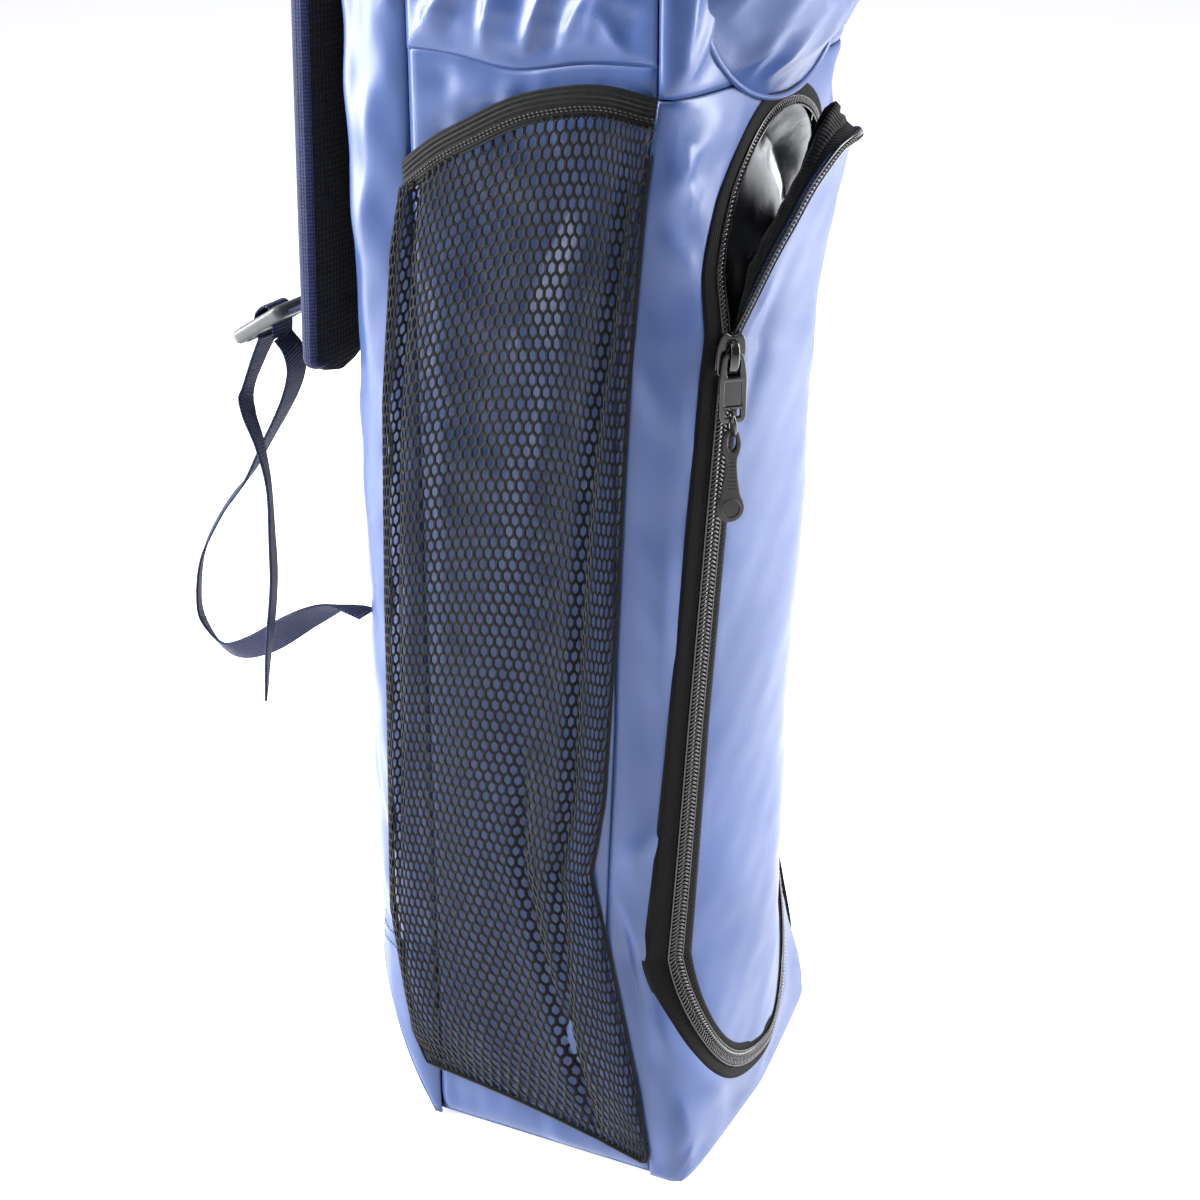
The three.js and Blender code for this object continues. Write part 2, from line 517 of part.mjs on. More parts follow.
// A flat ribbon with rounded edges along a smooth route.
function ribbon(route, side, steps) {
  const points = route.map(([x, y, z]) => new Vector3(side * -x, y, z));
  const path = new THREE.CatmullRomCurve3(points, false, 'centripetal');
  const [w, t] = [WEB_WIDTH / 2, WEB_THICK / 2];
  const section = [[w, -t / 3], [w, t / 3], [w - 2, t], [2 - w, t],
    [-w, t / 3], [-w, -t / 3], [2 - w, -t], [w - 2, -t]];
  const shape = new THREE.Shape(section.map(([a, b]) => new THREE.Vector2(a, b)));
  return new THREE.ExtrudeGeometry(shape, { steps, extrudePath: path, bevelEnabled: false });
}

for (const [word, side] of SIDES) {
  const centre = side * STRAP.x;
  const padding = solid(slab('x', profile, ...ordered(centre - 40, centre + 40)));
  add(`shoulder_strap_${word}`, skin(padding.intersect(solid(slab('y', strapFace(centre), 0, 300)))),
    strapNavy);

  const tab = [[143.4, 524], [145.4, 524], [145.2, 514], [160.4, 507.6], [159.4, 505], [143.8, 510]];
  add(`strap_tab_${word}`, slab('x', tab, centre - 11, centre + 11), webbingNavy);

  // The ladder lock: a frame with two slots, hung from its upper bar.
  const lock = new THREE.Group();
  lock.position.set(centre, LOCK.y, LOCK.z);
  lock.rotation.x = THREE.MathUtils.degToRad(LOCK.tilt);
  pack.add(lock);
  const w = LOCK.width / 2;
  const frame = [[-w + 3, 3], [-w, 0], [-w, 3 - LOCK.length], [-w + 4, -LOCK.length], [w - 4, -LOCK.length],
    [w, 3 - LOCK.length], [w, 0], [w - 3, 3]];
  const slot = (reach, low, high) => [[-reach, low], [reach, low], [reach, high], [-reach, high]];
  add(`ladder_lock_${word}`, slab('y', frame, -2.6, 2.6, [slot(12, -11, -5), slot(11.5, -24, -16)]),
    lockGrey, lock);

  const anchor = [[side * 62, 352], [side * 62, 292], [side * 98, 312], [side * 98, 332]];
  add(`lower_anchor_${word}`, slab('y', anchor, BACK_Y + GAP, BACK_Y + 3.6), webbingNavy);
  add(`webbing_loop_${word}`, ribbon(side < 0 ? LOOP_ROUTE : RIGHT_LOOP_ROUTE, side, 60), webbingNavy);
  add(`webbing_tail_${word}`, ribbon(TAIL_ROUTE, side, 36), webbingNavy);
}

export default pack;
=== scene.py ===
# Visual model of a tall sports backpack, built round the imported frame. Millimetres until a
# mesh is made, then metres. +X is the wearer's side to side, -Y is the front, +Z is up.
import math

import bpy
import numpy as np
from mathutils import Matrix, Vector


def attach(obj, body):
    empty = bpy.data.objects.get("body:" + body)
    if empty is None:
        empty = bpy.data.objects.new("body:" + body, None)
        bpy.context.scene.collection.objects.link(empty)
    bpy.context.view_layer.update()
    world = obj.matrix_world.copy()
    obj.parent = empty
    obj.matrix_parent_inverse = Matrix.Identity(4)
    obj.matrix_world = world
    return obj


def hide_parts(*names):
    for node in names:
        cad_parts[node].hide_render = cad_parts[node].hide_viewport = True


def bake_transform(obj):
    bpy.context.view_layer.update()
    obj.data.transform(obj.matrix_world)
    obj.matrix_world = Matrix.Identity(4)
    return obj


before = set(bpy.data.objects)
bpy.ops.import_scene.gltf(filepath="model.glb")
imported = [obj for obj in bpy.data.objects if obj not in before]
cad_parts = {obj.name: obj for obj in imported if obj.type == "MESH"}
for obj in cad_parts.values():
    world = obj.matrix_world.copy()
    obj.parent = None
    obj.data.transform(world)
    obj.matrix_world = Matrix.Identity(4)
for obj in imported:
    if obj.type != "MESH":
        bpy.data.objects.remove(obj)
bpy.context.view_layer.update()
MM = 0.001

# ------------------------------------------------------------------------------- camera

CAMERA_AZIMUTH, CAMERA_PITCH, CAMERA_DISTANCE = -63.5, 23.0, 1.351
CAMERA_TARGET = Vector((0, 0.002, 0.322))


def make_camera():
    a, e = math.radians(CAMERA_AZIMUTH), math.radians(CAMERA_PITCH)
    back = Vector((math.sin(a) * math.cos(e), -math.cos(a) * math.cos(e), math.sin(e)))
    camera = bpy.data.objects.new("camera", bpy.data.cameras.new("camera"))
    bpy.context.scene.collection.objects.link(camera)
    camera.location = CAMERA_TARGET + back * CAMERA_DISTANCE
    camera.rotation_mode = "QUATERNION"
    camera.rotation_quaternion = (-back).to_track_quat("-Z", "Y")
    camera.data.lens, camera.data.sensor_width = 66, 36
    camera.data.clip_start, camera.data.clip_end = 0.05, 50
    bpy.context.scene.camera = camera


make_camera()

# ---------------------------------------------------------------------------- materials


class Nodes:
    """A short way to write a node tree for one Principled material."""

    def __init__(self, name, color, roughness, **sockets):
        self.material = bpy.data.materials.new(name)
        self.material.use_nodes = True
        self.tree = self.material.node_tree
        self.shader = self.tree.nodes["Principled BSDF"]
        self.shader.inputs["Base Color"].default_value = (*color, 1)
        self.shader.inputs["Roughness"].default_value = roughness
        for key, value in sockets.items():
            self.shader.inputs[key.replace("_", " ")].default_value = value
        self.color, self.roughness = color, roughness
        self.height = None

    def node(self, kind, **settings):
        made = self.tree.nodes.new("ShaderNode" + kind)
        for key, value in settings.items():
            setattr(made, key, value)
        return made

    def link(self, a, b):
        self.tree.links.new(a, b)

    def coords(self, scale, uv=False, rotation=(0, 0, 0)):
        """Object coordinates in metres, or the piece's own cloth coordinates."""
        if uv:
            source = self.node("UVMap", uv_map="cloth").outputs["UV"]
        else:
            source = self.node("TexCoord").outputs["Object"]
        mapping = self.node("Mapping")
        mapping.inputs["Scale"].default_value = scale
        mapping.inputs["Rotation"].default_value = rotation
        self.link(source, mapping.inputs["Vector"])
        return mapping.outputs["Vector"]

    def noise(self, scale, detail=3.0, roughness=0.5, stretch=(1, 1, 1)):
        made = self.node("TexNoise")
        made.inputs["Scale"].default_value = scale
        made.inputs["Detail"].default_value = detail
        made.inputs["Roughness"].default_value = roughness
        self.link(self.coords(stretch), made.inputs["Vector"])
        return made.outputs["Fac"]

    def wave(self, pitch, direction="X", uv=True, distortion=0.0, rotation=(0, 0, 0)):
        made = self.node("TexWave", wave_type="BANDS", bands_direction=direction)
        made.inputs["Scale"].default_value = math.pi / 10 / pitch
        made.inputs["Distortion"].default_value = distortion
        self.link(self.coords((1, 1, 1), uv, rotation), made.inputs["Vector"])
        return made.outputs["Fac"]

    def math(self, operation, a, b):
        made = self.node("Math", operation=operation)
        for socket, value in zip(made.inputs, (a, b)):
            if isinstance(value, (int, float)):
                socket.default_value = value
            else:
                self.link(value, socket)
        return made.outputs[0]

    def vary(self, factor, low, high, start=0.3, end=0.7):
        """The base colour runs from low to high times the plain colour."""
        ramp = self.node("ValToRGB")
        ramp.color_ramp.elements[0].position = start
        ramp.color_ramp.elements[1].position = end
        ramp.color_ramp.elements[0].color = (*[c * low for c in self.color], 1)
        ramp.color_ramp.elements[1].color = (*[min(c * high, 1) for c in self.color], 1)
        self.link(factor, ramp.inputs["Fac"])
        self.link(ramp.outputs["Color"], self.shader.inputs["Base Color"])
        return self

    def rough(self, factor, spread):
        made = self.node("MapRange")
        made.inputs["From Min"].default_value = 0.3
        made.inputs["From Max"].default_value = 0.7
        made.inputs["To Min"].default_value = self.roughness - spread
        made.inputs["To Max"].default_value = self.roughness + spread
        self.link(factor, made.inputs["Value"])
        self.link(made.outputs["Result"], self.shader.inputs["Roughness"])
        return self

    def bump(self, height, distance, strength=1.0):
        made = self.node("Bump")
        made.inputs["Distance"].default_value = distance
        made.inputs["Strength"].default_value = strength
        self.link(height, made.inputs["Height"])
        if self.height is not None:
            self.link(self.height, made.inputs["Normal"])
        self.height = made.outputs["Normal"]
        self.link(self.height, self.shader.inputs["Normal"])
        return self


def rgb(r, g, b):
    """A display colour from 0 to 255, as the shader's linear one."""
    return tuple((c / 255 / 12.92) if c <= 10 else ((c / 255 + 0.055) / 1.055) ** 2.4 for c in (r, g, b))


def make_materials():
    made = {}

    def keep(slot, nodes):
        made[slot] = nodes.material

    coated = Nodes("coated_fabric", rgb(42, 65, 114), 0.42, Specular_IOR_Level=0.28, Coat_Weight=0.34,
                   Coat_Roughness=0.27, Sheen_Weight=0.06, Sheen_Roughness=0.45, Sheen_Tint=(0.72, 0.76, 1, 1))
    coated.vary(coated.noise(9, 4), 0.9, 1.1).rough(coated.noise(14, 3), 0.05)
    scrim = coated.math("MULTIPLY", coated.wave(0.0013, "X"), coated.wave(0.0013, "Y"))
    coated.bump(scrim, 0.00006, 0.7).bump(coated.noise(45, 3), 0.0006, 0.35)
    coated.bump(coated.noise(900, 2), 0.00005, 0.5)
    keep("coated_fabric", coated)

    lining = Nodes("foam_lining", rgb(13, 15, 20), 0.92, Specular_IOR_Level=0.15, Sheen_Weight=0.05)
    lining.vary(lining.noise(60, 4), 0.75, 1.35)
    dots = lining.math("MULTIPLY", lining.wave(0.0032, "X"), lining.wave(0.0032, "Y"))
    lining.bump(dots, 0.0006, 0.8).bump(lining.noise(700, 2), 0.0002, 0.5)
    keep("foam_lining", lining)

    net = Nodes("pocket_mesh", rgb(8, 8, 9), 0.6, Specular_IOR_Level=0.07, Sheen_Weight=0.08)
    net.vary(net.noise(180, 3), 0.6, 1.5).bump(net.wave(0.0009, "X", True, 2.0), 0.00015, 0.7)
    keep("pocket_mesh", net)

    binding = Nodes("binding", rgb(18, 19, 20), 0.76, Specular_IOR_Level=0.12, Sheen_Weight=0.08, Sheen_Roughness=0.4)
    binding.vary(binding.noise(240, 3), 0.7, 1.35)
    binding.bump(binding.wave(0.0024, "X"), 0.0005, 0.9).bump(binding.noise(900, 2), 0.0002, 0.6)
    keep("binding", binding)

    tape = Nodes("zip_tape", rgb(9, 9, 10), 0.8, Specular_IOR_Level=0.08, Sheen_Weight=0.04)
    weave = tape.wave(0.0014, "DIAGONAL")
    tape.vary(weave, 0.6, 1.5).bump(weave, 0.00025, 0.9).bump(tape.noise(900, 2), 0.0001, 0.5)
    keep("zip_tape", tape)

    coil = Nodes("zip_coil", rgb(12, 12, 13), 0.26, Specular_IOR_Level=0.5, Coat_Weight=0.1)
    coil.vary(coil.noise(300, 2), 0.7, 1.6).rough(coil.noise(120, 2), 0.08)
    coil.bump(coil.noise(1500, 2), 0.00004, 0.5)
    keep("zip_coil", coil)

    foil = Nodes("foil", rgb(150, 152, 156), 0.36, Metallic=1.0)
    foil.vary(foil.noise(26, 4), 0.72, 1.12).rough(foil.noise(40, 3), 0.1)
    cracks = foil.node("TexVoronoi", feature="DISTANCE_TO_EDGE")
    cracks.inputs["Scale"].default_value = 42
    foil.link(foil.coords((1, 1, 0.6)), cracks.inputs["Vector"])
    foil.bump(cracks.outputs["Distance"], 0.0012, 0.45).bump(foil.noise(160, 4), 0.0008, 0.4)
    keep("foil", foil)

    strap = Nodes("strap_fabric", rgb(19, 25, 52), 0.85, Specular_IOR_Level=0.2, Sheen_Weight=0.06)
    strap.vary(strap.noise(120, 3), 0.75, 1.3)
    rib = strap.wave(0.0016, "Y")
    strap.bump(rib, 0.0003, 0.9).bump(strap.noise(800, 2), 0.0001, 0.5)
    keep("strap_fabric", strap)

    webbing = Nodes("webbing", rgb(21, 30, 68), 0.72, Specular_IOR_Level=0.25, Sheen_Weight=0.08, Sheen_Roughness=0.4)
    ribs = webbing.wave(0.0021, "Y", True, 0.15)
    webbing.vary(webbing.math("MULTIPLY", ribs, webbing.noise(70, 3)), 0.62, 1.45, 0.1, 0.6)
    webbing.bump(ribs, 0.0005, 0.9).bump(webbing.wave(0.0011, "X"), 0.00025, 0.8)
    keep("webbing", webbing)

    slider = Nodes("slider_metal", rgb(12, 12, 13), 0.2, Metallic=0.2, Coat_Weight=0.5, Coat_Roughness=0.12)
    slider.vary(slider.noise(90, 4), 0.7, 2.2, 0.45, 0.75).rough(slider.noise(70, 4), 0.06)
    slider.bump(slider.noise(260, 3), 0.00008, 0.5)
    keep("slider_metal", slider)

    rubber = Nodes("puller_rubber", rgb(22, 22, 23), 0.5, Specular_IOR_Level=0.35)
    rubber.vary(rubber.noise(300, 3), 0.8, 1.3).bump(rubber.noise(1300, 3), 0.00012, 0.8)
    keep("puller_rubber", rubber)

    lock = Nodes("lock_plastic", rgb(70, 72, 75), 0.4, Specular_IOR_Level=0.5)
    lock.vary(lock.noise(110, 4), 0.85, 1.15).rough(lock.noise(220, 3), 0.07)
    lock.bump(lock.noise(1400, 2), 0.00006, 0.6)
    keep("lock_plastic", lock)

    board = Nodes("board", rgb(60, 61, 63), 0.8)
    board.vary(board.noise(80, 4), 0.8, 1.2).bump(board.noise(500, 2), 0.0002, 0.5)
    keep("board", board)

    thread = Nodes("thread", rgb(30, 40, 84), 0.6, Sheen_Weight=0.2)
    thread.vary(thread.noise(900, 2), 0.7, 1.4).bump(thread.noise(2500, 2), 0.0001, 0.6)
    keep("thread", thread)

    dark_thread = Nodes("dark_thread", rgb(14, 14, 15), 0.6)
    dark_thread.vary(dark_thread.noise(900, 2), 0.7, 1.8).bump(dark_thread.noise(2500, 2), 0.0001, 0.6)
    keep("dark_thread", dark_thread)
    return made


MATERIAL = make_materials()

# ------------------------------------------------------------------------- mesh helpers


def unit(v):
    return v / np.maximum(np.linalg.norm(v, axis=-1, keepdims=True), 1e-9)


def smoothstep(x, low, high):
    t = np.clip((np.asarray(x, float) - low) / (high - low), 0, 1)
    return t * t * (3 - 2 * t)


def running(line):
    """The length along a line of points, from its first one."""
    return np.concatenate([[0], np.cumsum(np.linalg.norm(np.diff(line, axis=0), axis=1))])


def at_lengths(values, run, at):
    """Rows of values, one for each point of a line, read off at the given lengths along it."""
    return np.stack([np.interp(at, run, values[:, k]) for k in range(values.shape[1])], -1)


def make(name, verts, faces, material, body, replaces=(), uvs=None, inner=None, smooth=True):
    """A mesh piece from points in millimetres. inner is a second material, for faces flagged 1."""
    mesh = bpy.data.meshes.new(name)
    mesh.from_pydata((np.asarray(verts) * MM).tolist(), [], [list(map(int, f)) for f in faces])
    mesh.materials.append(MATERIAL[material])
    if inner is not None:
        mesh.materials.append(MATERIAL[inner[0]])
        mesh.polygons.foreach_set("material_index", np.asarray(inner[1], np.int32))
    if smooth:
        mesh.shade_smooth()
    if uvs is not None:
        layer = mesh.uv_layers.new(name="cloth")
        loops = np.zeros(len(mesh.loops), np.int32)
        mesh.loops.foreach_get("vertex_index", loops)
        layer.data.foreach_set("uv", (np.asarray(uvs)[loops] * MM).astype(np.float32).ravel())
    mesh.validate()
    made = bpy.data.objects.new(name, mesh)
    bpy.context.scene.collection.objects.link(made)
    if isinstance(body, tuple):
        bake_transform(made)
    elif body:
        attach(made, body)
    if replaces:
        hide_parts(*replaces)
    return made


def piece(name, arrays, material, body, replaces=()):
    """A mesh piece from its vertices, faces and cloth coordinates together."""
    verts, faces, uvs = arrays
    return make(name, verts, faces, material, body, replaces, uvs)


def grid_normals(grid, wrap=False):
    du = np.gradient(grid, axis=0)
    if wrap:
        du = (np.roll(grid, -1, axis=0) - np.roll(grid, 1, axis=0)) / 2
    return unit(np.cross(du, np.gradient(grid, axis=1)))


def lengths(grid, axis):
    """Running length along one axis of a grid, from its first row or column."""
    step = np.linalg.norm(np.diff(grid, axis=axis), axis=2)
    pad = [(1, 0), (0, 0)] if axis == 0 else [(0, 0), (1, 0)]
    return np.pad(np.cumsum(step, axis=axis), pad)


def sheet_arrays(grid, thick, wrap=False, flip=False):
    """Vertices, faces, cloth coordinates and inner-face flags of a grid with thickness."""
    nu, nv = grid.shape[:2]
    normals = grid_normals(grid, wrap) * (-1 if flip else 1)
    verts = np.concatenate([grid.reshape(-1, 3), (grid - normals * thick).reshape(-1, 3)])
    count = nu * nv
    i, j = np.meshgrid(np.arange(nu if wrap else nu - 1), np.arange(nv - 1), indexing="ij")
    a, b = i * nv + j, ((i + 1) % nu) * nv + j
    top = np.stack([a, b, b + 1, a + 1], -1).reshape(-1, 4)
    if flip:
        top = top[:, ::-1]
    faces = [top, top[:, ::-1] + count]
    flags = [np.zeros(len(top)), np.ones(len(top))]
    rims = []
    ring = np.arange(nu if wrap else nu - 1)
    rims.append(np.stack([((ring + 1) % nu) * nv, ring * nv], -1))
    rims.append(np.stack([ring * nv + nv - 1, ((ring + 1) % nu) * nv + nv - 1], -1))
    if not wrap:
        ring = np.arange(nv - 1)
        rims.append(np.stack([ring, ring + 1], -1))
        rims.append(np.stack([(nu - 1) * nv + ring + 1, (nu - 1) * nv + ring], -1))
    for edge in rims:
        quad = np.stack([edge[:, 0], edge[:, 1], edge[:, 1] + count, edge[:, 0] + count], -1)
        faces.append(quad[:, ::-1] if flip else quad)
        flags.append(np.zeros(len(quad)))
    uv = np.stack([lengths(grid, 0), lengths(grid, 1)], -1).reshape(-1, 2)
    return verts, np.concatenate(faces), np.concatenate([uv, uv]), np.concatenate(flags)


def panel(name, grid, thick, material, body, replaces=(), wrap=False, flip=False, inner=None):
    verts, faces, uvs, flags = sheet_arrays(grid, thick, wrap, flip)
    return make(name, verts, faces, material, body, replaces, uvs, None if inner is None else (inner, flags))


def ripple(points, size, seed):
    """A soft, repeatable unevenness from -1 to 1 with features of about that size."""
    rng = np.random.default_rng(seed)
    total = np.zeros(points.shape[:-1])
    for _ in range(9):
        k = unit(rng.normal(size=3)) * 2 * np.pi / (size * rng.uniform(0.7, 1.6))
        total += np.sin(points @ k + rng.uniform(0, 6.28))
    return total / 4.5


FOLD_STRENGTH = 1.2
SEAM_FOLD = 0.04  # the share of a fold that is left at a seam


def folds(points, creases):
    """Height added by folds: each is (start, end, width, height, sharpness)."""
    total = np.zeros(points.shape[:-1])
    for start, end, width, height, sharp in creases:
        a, d = np.array(start, float), np.array(end, float) - np.array(start, float)
        t = np.clip(((points - a) @ d) / (d @ d), 0, 1)
        gap = np.linalg.norm(points - (a + t[..., None] * d), axis=-1)
        fade = 0.35 + 0.65 * np.sin(np.pi * np.clip(t, 0.02, 0.98)) ** 0.6
        total += FOLD_STRENGTH * height * fade * np.exp(-(gap / width) ** sharp)
    return total


def edge_fade(grid, reach, wrap=False):
    """0 at a grid's edges and 1 from that many millimetres inwards."""
    v = lengths(grid, 1)
    near = np.minimum(v, v[:, -1:] - v)
    if not wrap:
        u = lengths(grid, 0)
        near = np.minimum(near, np.minimum(u, u[-1:] - u))
    return smoothstep(near, 0, reach), near


def cloth(grid, creases=(), wave=(0.8, 60), seed=1, seam=1.6, reach=14, wrap=False, flip=False):
    """The grid pushed along its normals by folds and unevenness, and rolled in at its seams."""
    normals = grid_normals(grid, wrap) * (-1 if flip else 1)
    fade, near = edge_fade(grid, reach, wrap)
    height = fade * wave[0] * (ripple(grid, wave[1], seed) + 0.5 * ripple(grid, wave[1] / 2.6, seed + 50))
    height = height + (SEAM_FOLD + (1 - SEAM_FOLD) * fade) * folds(grid, creases) - seam * np.exp(-(near / 2.2) ** 1.3)
    return grid + normals * height[..., None]


def smooth_path(points, count):
    """Catmull-Rom through points, resampled evenly."""
    p = np.asarray(points, float)
    p = np.vstack([2 * p[0] - p[1], p, 2 * p[-1] - p[-2]])
    out = []
    for k in range(1, len(p) - 2):
        t = np.linspace(0, 1, 16, endpoint=False)[:, None]
        a, b, c, d = p[k - 1], p[k], p[k + 1], p[k + 2]
        out.append(0.5 * (2 * b + (c - a) * t + (2 * a - 5 * b + 4 * c - d) * t**2 + (3 * b - a - 3 * c + d) * t**3))
    line = np.vstack([*out, p[-2][None]])
    run = running(line)
    at = np.linspace(0, run[-1], count)
    return at_lengths(line, run, at)


def tangents(line):
    return unit(np.gradient(line, axis=0))


def tube_arrays(line, section, across, closed=False):
    """A section of (across, out) pairs swept along a line. across is the width direction."""
    t = tangents(line)
    if closed:
        t = unit(np.roll(line, -1, axis=0) - np.roll(line, 1, axis=0))
    side = unit(across - np.sum(across * t, -1, keepdims=True) * t)
    out = np.cross(t, side)
    section = np.asarray(section, float)
    if section.ndim == 2:
        section = np.repeat(section[None], len(line), 0)
    points = line[:, None] + section[:, :, :1] * side[:, None] + section[:, :, 1:2] * out[:, None]
    n, m = points.shape[:2]
    i, j = np.meshgrid(np.arange(n if closed else n - 1), np.arange(m), indexing="ij")
    a, b = i * m + j, ((i + 1) % n) * m + j
    c, d = ((i + 1) % n) * m + (j + 1) % m, i * m + (j + 1) % m
    faces = [list(f) for f in np.stack([a, d, c, b], -1).reshape(-1, 4)]
    if not closed:
        faces += [list(range(m)), list(range((n - 1) * m, n * m))[::-1]]
    run = running(line)
    around = running(section[0])
    uv = np.stack(np.broadcast_arrays(around[None], run[:, None]), -1).reshape(-1, 2)
    return points.reshape(-1, 3), faces, uv


def round_section(radius, sides=10, squash=1.0):
    a = np.linspace(0, 2 * np.pi, sides, endpoint=False)
    return np.stack([radius * np.cos(a), radius * squash * np.sin(a)], -1)


def strap_section(width, thick, bulge=0.0, edge=4):
    """A flat band's section with rounded edges."""
    w, t = width / 2, thick / 2
    a = np.linspace(-np.pi / 2, np.pi / 2, edge)
    right = np.stack([w - t + t * np.cos(a), t * np.sin(a)], -1)
    across = np.linspace(w - t, t - w, 9)[1:-1]
    top = np.stack([across, t + bulge * (1 - (across / w) ** 2)], -1)
    return np.concatenate([right, top, -right, np.stack([-across, -t - bulge * (1 - (across / w) ** 2)], -1)])


def merge(parts):
    """Several (verts, faces, uvs) as one."""
    verts, faces, uvs, base = [], [], [], 0
    for v, f, t in parts:
        verts.append(v)
        uvs.append(t)
        faces += [[int(k) + base for k in face] for face in f]
        base += len(v)
    return np.concatenate(verts), faces, np.concatenate(uvs)


def beads(centres, axes, outs, half, radius, sides=6, flat=1.0):
    """Many short rounded bars, as one mesh: coil turns or stitches."""
    axes, outs = unit(axes), unit(outs)
    sides_dir = unit(np.cross(axes, outs))
    outs = np.cross(sides_dir, axes)
    ring_at = np.array([-1, -0.82, 0.82, 1.0]) * half
    ring_r = np.array([0.35, 0.95, 0.95, 0.35]) * radius
    angle = np.linspace(0, 2 * np.pi, sides, endpoint=False)
    local = np.stack([np.repeat(ring_at, sides), np.outer(ring_r, np.cos(angle)).ravel(),
                      np.outer(ring_r, np.sin(angle)).ravel() * flat], -1)
    basis = np.stack([axes, sides_dir, outs], 1)
    verts = (centres[:, None] + local @ basis).reshape(-1, 3)
    faces = []
    for r in range(3):
        for s in range(sides):
            n = (s + 1) % sides
            faces.append([r * sides + s, r * sides + n, (r + 1) * sides + n, (r + 1) * sides + s])
    caps = [list(range(sides))[::-1], [3 * sides + k for k in range(sides)]]
    each = len(local)
    all_faces = [[k + n * each for k in f] for n in range(len(centres)) for f in faces + caps]
    uv = np.tile(local[:, :2], (len(centres), 1))
    return verts, all_faces, uv


def stitching(line, outs, pitch=3.2, radius=0.38, lift=0.1):
    """A row of stitches along a line."""
    run = running(line)
    at = np.arange(pitch / 2, run[-1], pitch)
    pick = lambda a: at_lengths(a, run, at)
    centres, axes, out = pick(line), pick(tangents(line)), unit(pick(outs))
    return beads(centres + out * lift, axes, out, pitch * 0.36, radius, 6, 0.8)


def flipped(grid):
    """The same grid on the other side of the bag."""
    return grid * np.array([-1, 1, 1])


def on_side(verts, faces, side):
    """Vertices and faces made for the left side, as they are on either side."""
    return (verts, faces) if side < 0 else (flipped(verts), [f[::-1] for f in faces])


# ------------------------------------------------------------------------ the bag's form

HALF_WIDTH, BACK_Y, REAR_RADIUS = 118, 114, 46
SIDE_SEAM_Y, SIDE_SEAM_Z, RIM_Z = 56, 668, 888
HEEL_Y, HEEL_Z = 62, 100
SIDES = (("left", -1), ("right", 1))

# Height, where the flat side ends, how far the crest stands out, how square its corners are, and
# how far its right half has slumped back.
FRONT = np.array([
    (0, -91, -115, 8, 0.6), (30, -87, -117, 5.5, 0.7), (60, -80, -118, 3.6, 0.85), (150, -60, -122, 2.2, 1),
    (300, -66, -123, 2.2, 1), (505, -66, -131.5, 2.2, 1), (528, -69, -132, 2.2, 1), (560, -73, -121, 2.3, 0.8),
    (600, -80, -113, 2.5, 0.5), (650, -88, -108, 3, 0), (888, -88, -104, 3, 0),
], float)
SLUMP_FOOT, SLUMP_SLOPE, SLUMP_SOFT = 1.02, 0.0086, 0.05
OVAL_LOW, OVAL_HIGH = (142, 100), (548, 84)


def station(z):
    return [np.interp(z, FRONT[:, 0], FRONT[:, k]) for k in range(1, 5)]


def front_y(x, z):
    side, crest, square, slump = station(z)
    out = (1 - np.minimum(np.abs(x) / HALF_WIDTH, 1) ** square) ** (1 / square)
    line = SLUMP_FOOT - SLUMP_SLOPE * np.asarray(x, float)
    fallen = -SLUMP_SOFT * np.logaddexp(-out / SLUMP_SOFT, -line / SLUMP_SOFT)
    return side + (crest - side) * (out + slump * (np.maximum(fallen, 0) - out))


def front_table():
    """The front's plan at many heights, resampled evenly from its left edge to its right."""
    heights, share = np.linspace(0, 888, 300), np.linspace(0, 1, 161)
    rows = np.zeros((len(heights), len(share), 2))
    x = -HALF_WIDTH * np.cos(np.linspace(0, np.pi, 1600))
    for k, z in enumerate(heights):
        y = front_y(x, z)
        run = np.concatenate([[0], np.cumsum(np.hypot(np.diff(x), np.diff(y)))])
        rows[k, :, 0] = np.interp(share * run[-1], run, x)
        rows[k, :, 1] = np.interp(share * run[-1], run, y)
    return heights, share, rows


HEIGHTS, SHARE, ROWS = front_table()


def front_at(u, z):
    """A point of the front from its share of the way across and its height."""
    u, z = np.clip(np.asarray(u, float), 0, 1), np.asarray(z, float)
    i = np.clip(z / HEIGHTS[-1] * (len(HEIGHTS) - 1), 0, len(HEIGHTS) - 1.001)
    j = np.clip(u * (len(SHARE) - 1), 0, len(SHARE) - 1.001)
    i0, j0 = i.astype(int), j.astype(int)
    fi, fj = (i - i0)[..., None], (j - j0)[..., None]
    low = ROWS[i0, j0] * (1 - fj) + ROWS[i0, j0 + 1] * fj
    high = ROWS[i0 + 1, j0] * (1 - fj) + ROWS[i0 + 1, j0 + 1] * fj
    xy = low * (1 - fi) + high * fi
    return np.concatenate([xy, z[..., None]], -1)


def front_share(x, z):
    at = np.clip(np.asarray(z) / HEIGHTS[-1] * (len(HEIGHTS) - 1), 0, len(HEIGHTS) - 1.001)
    low = at.astype(int)
    under, over = (np.array([np.interp(a, ROWS[k, :, 0], SHARE) for a, k in zip(x, rows)])
                   for rows in (low, low + 1))
    return under + (over - under) * (at - low)


def oval(offset, count):
    """The zip's egg outline in (x, z), evenly spaced, clockwise from its right side."""
    rise = OVAL_HIGH[0] - OVAL_LOW[0]
    tangent = math.asin((OVAL_LOW[1] - OVAL_HIGH[1]) / rise)
    points = []
    for (height, radius), start, end in ((OVAL_HIGH, tangent, math.pi - tangent),
                                         (OVAL_LOW, math.pi - tangent, 2 * math.pi + tangent)):
        a = np.linspace(start, end, 120)
        points.append(np.stack([(radius + offset) * np.cos(a), height + (radius + offset) * np.sin(a)], -1))
    line = np.concatenate([*points, points[0][:1]])
    run = running(line)
    at = np.linspace(0, run[-1], count, endpoint=False)
    return at_lengths(line, run, at)


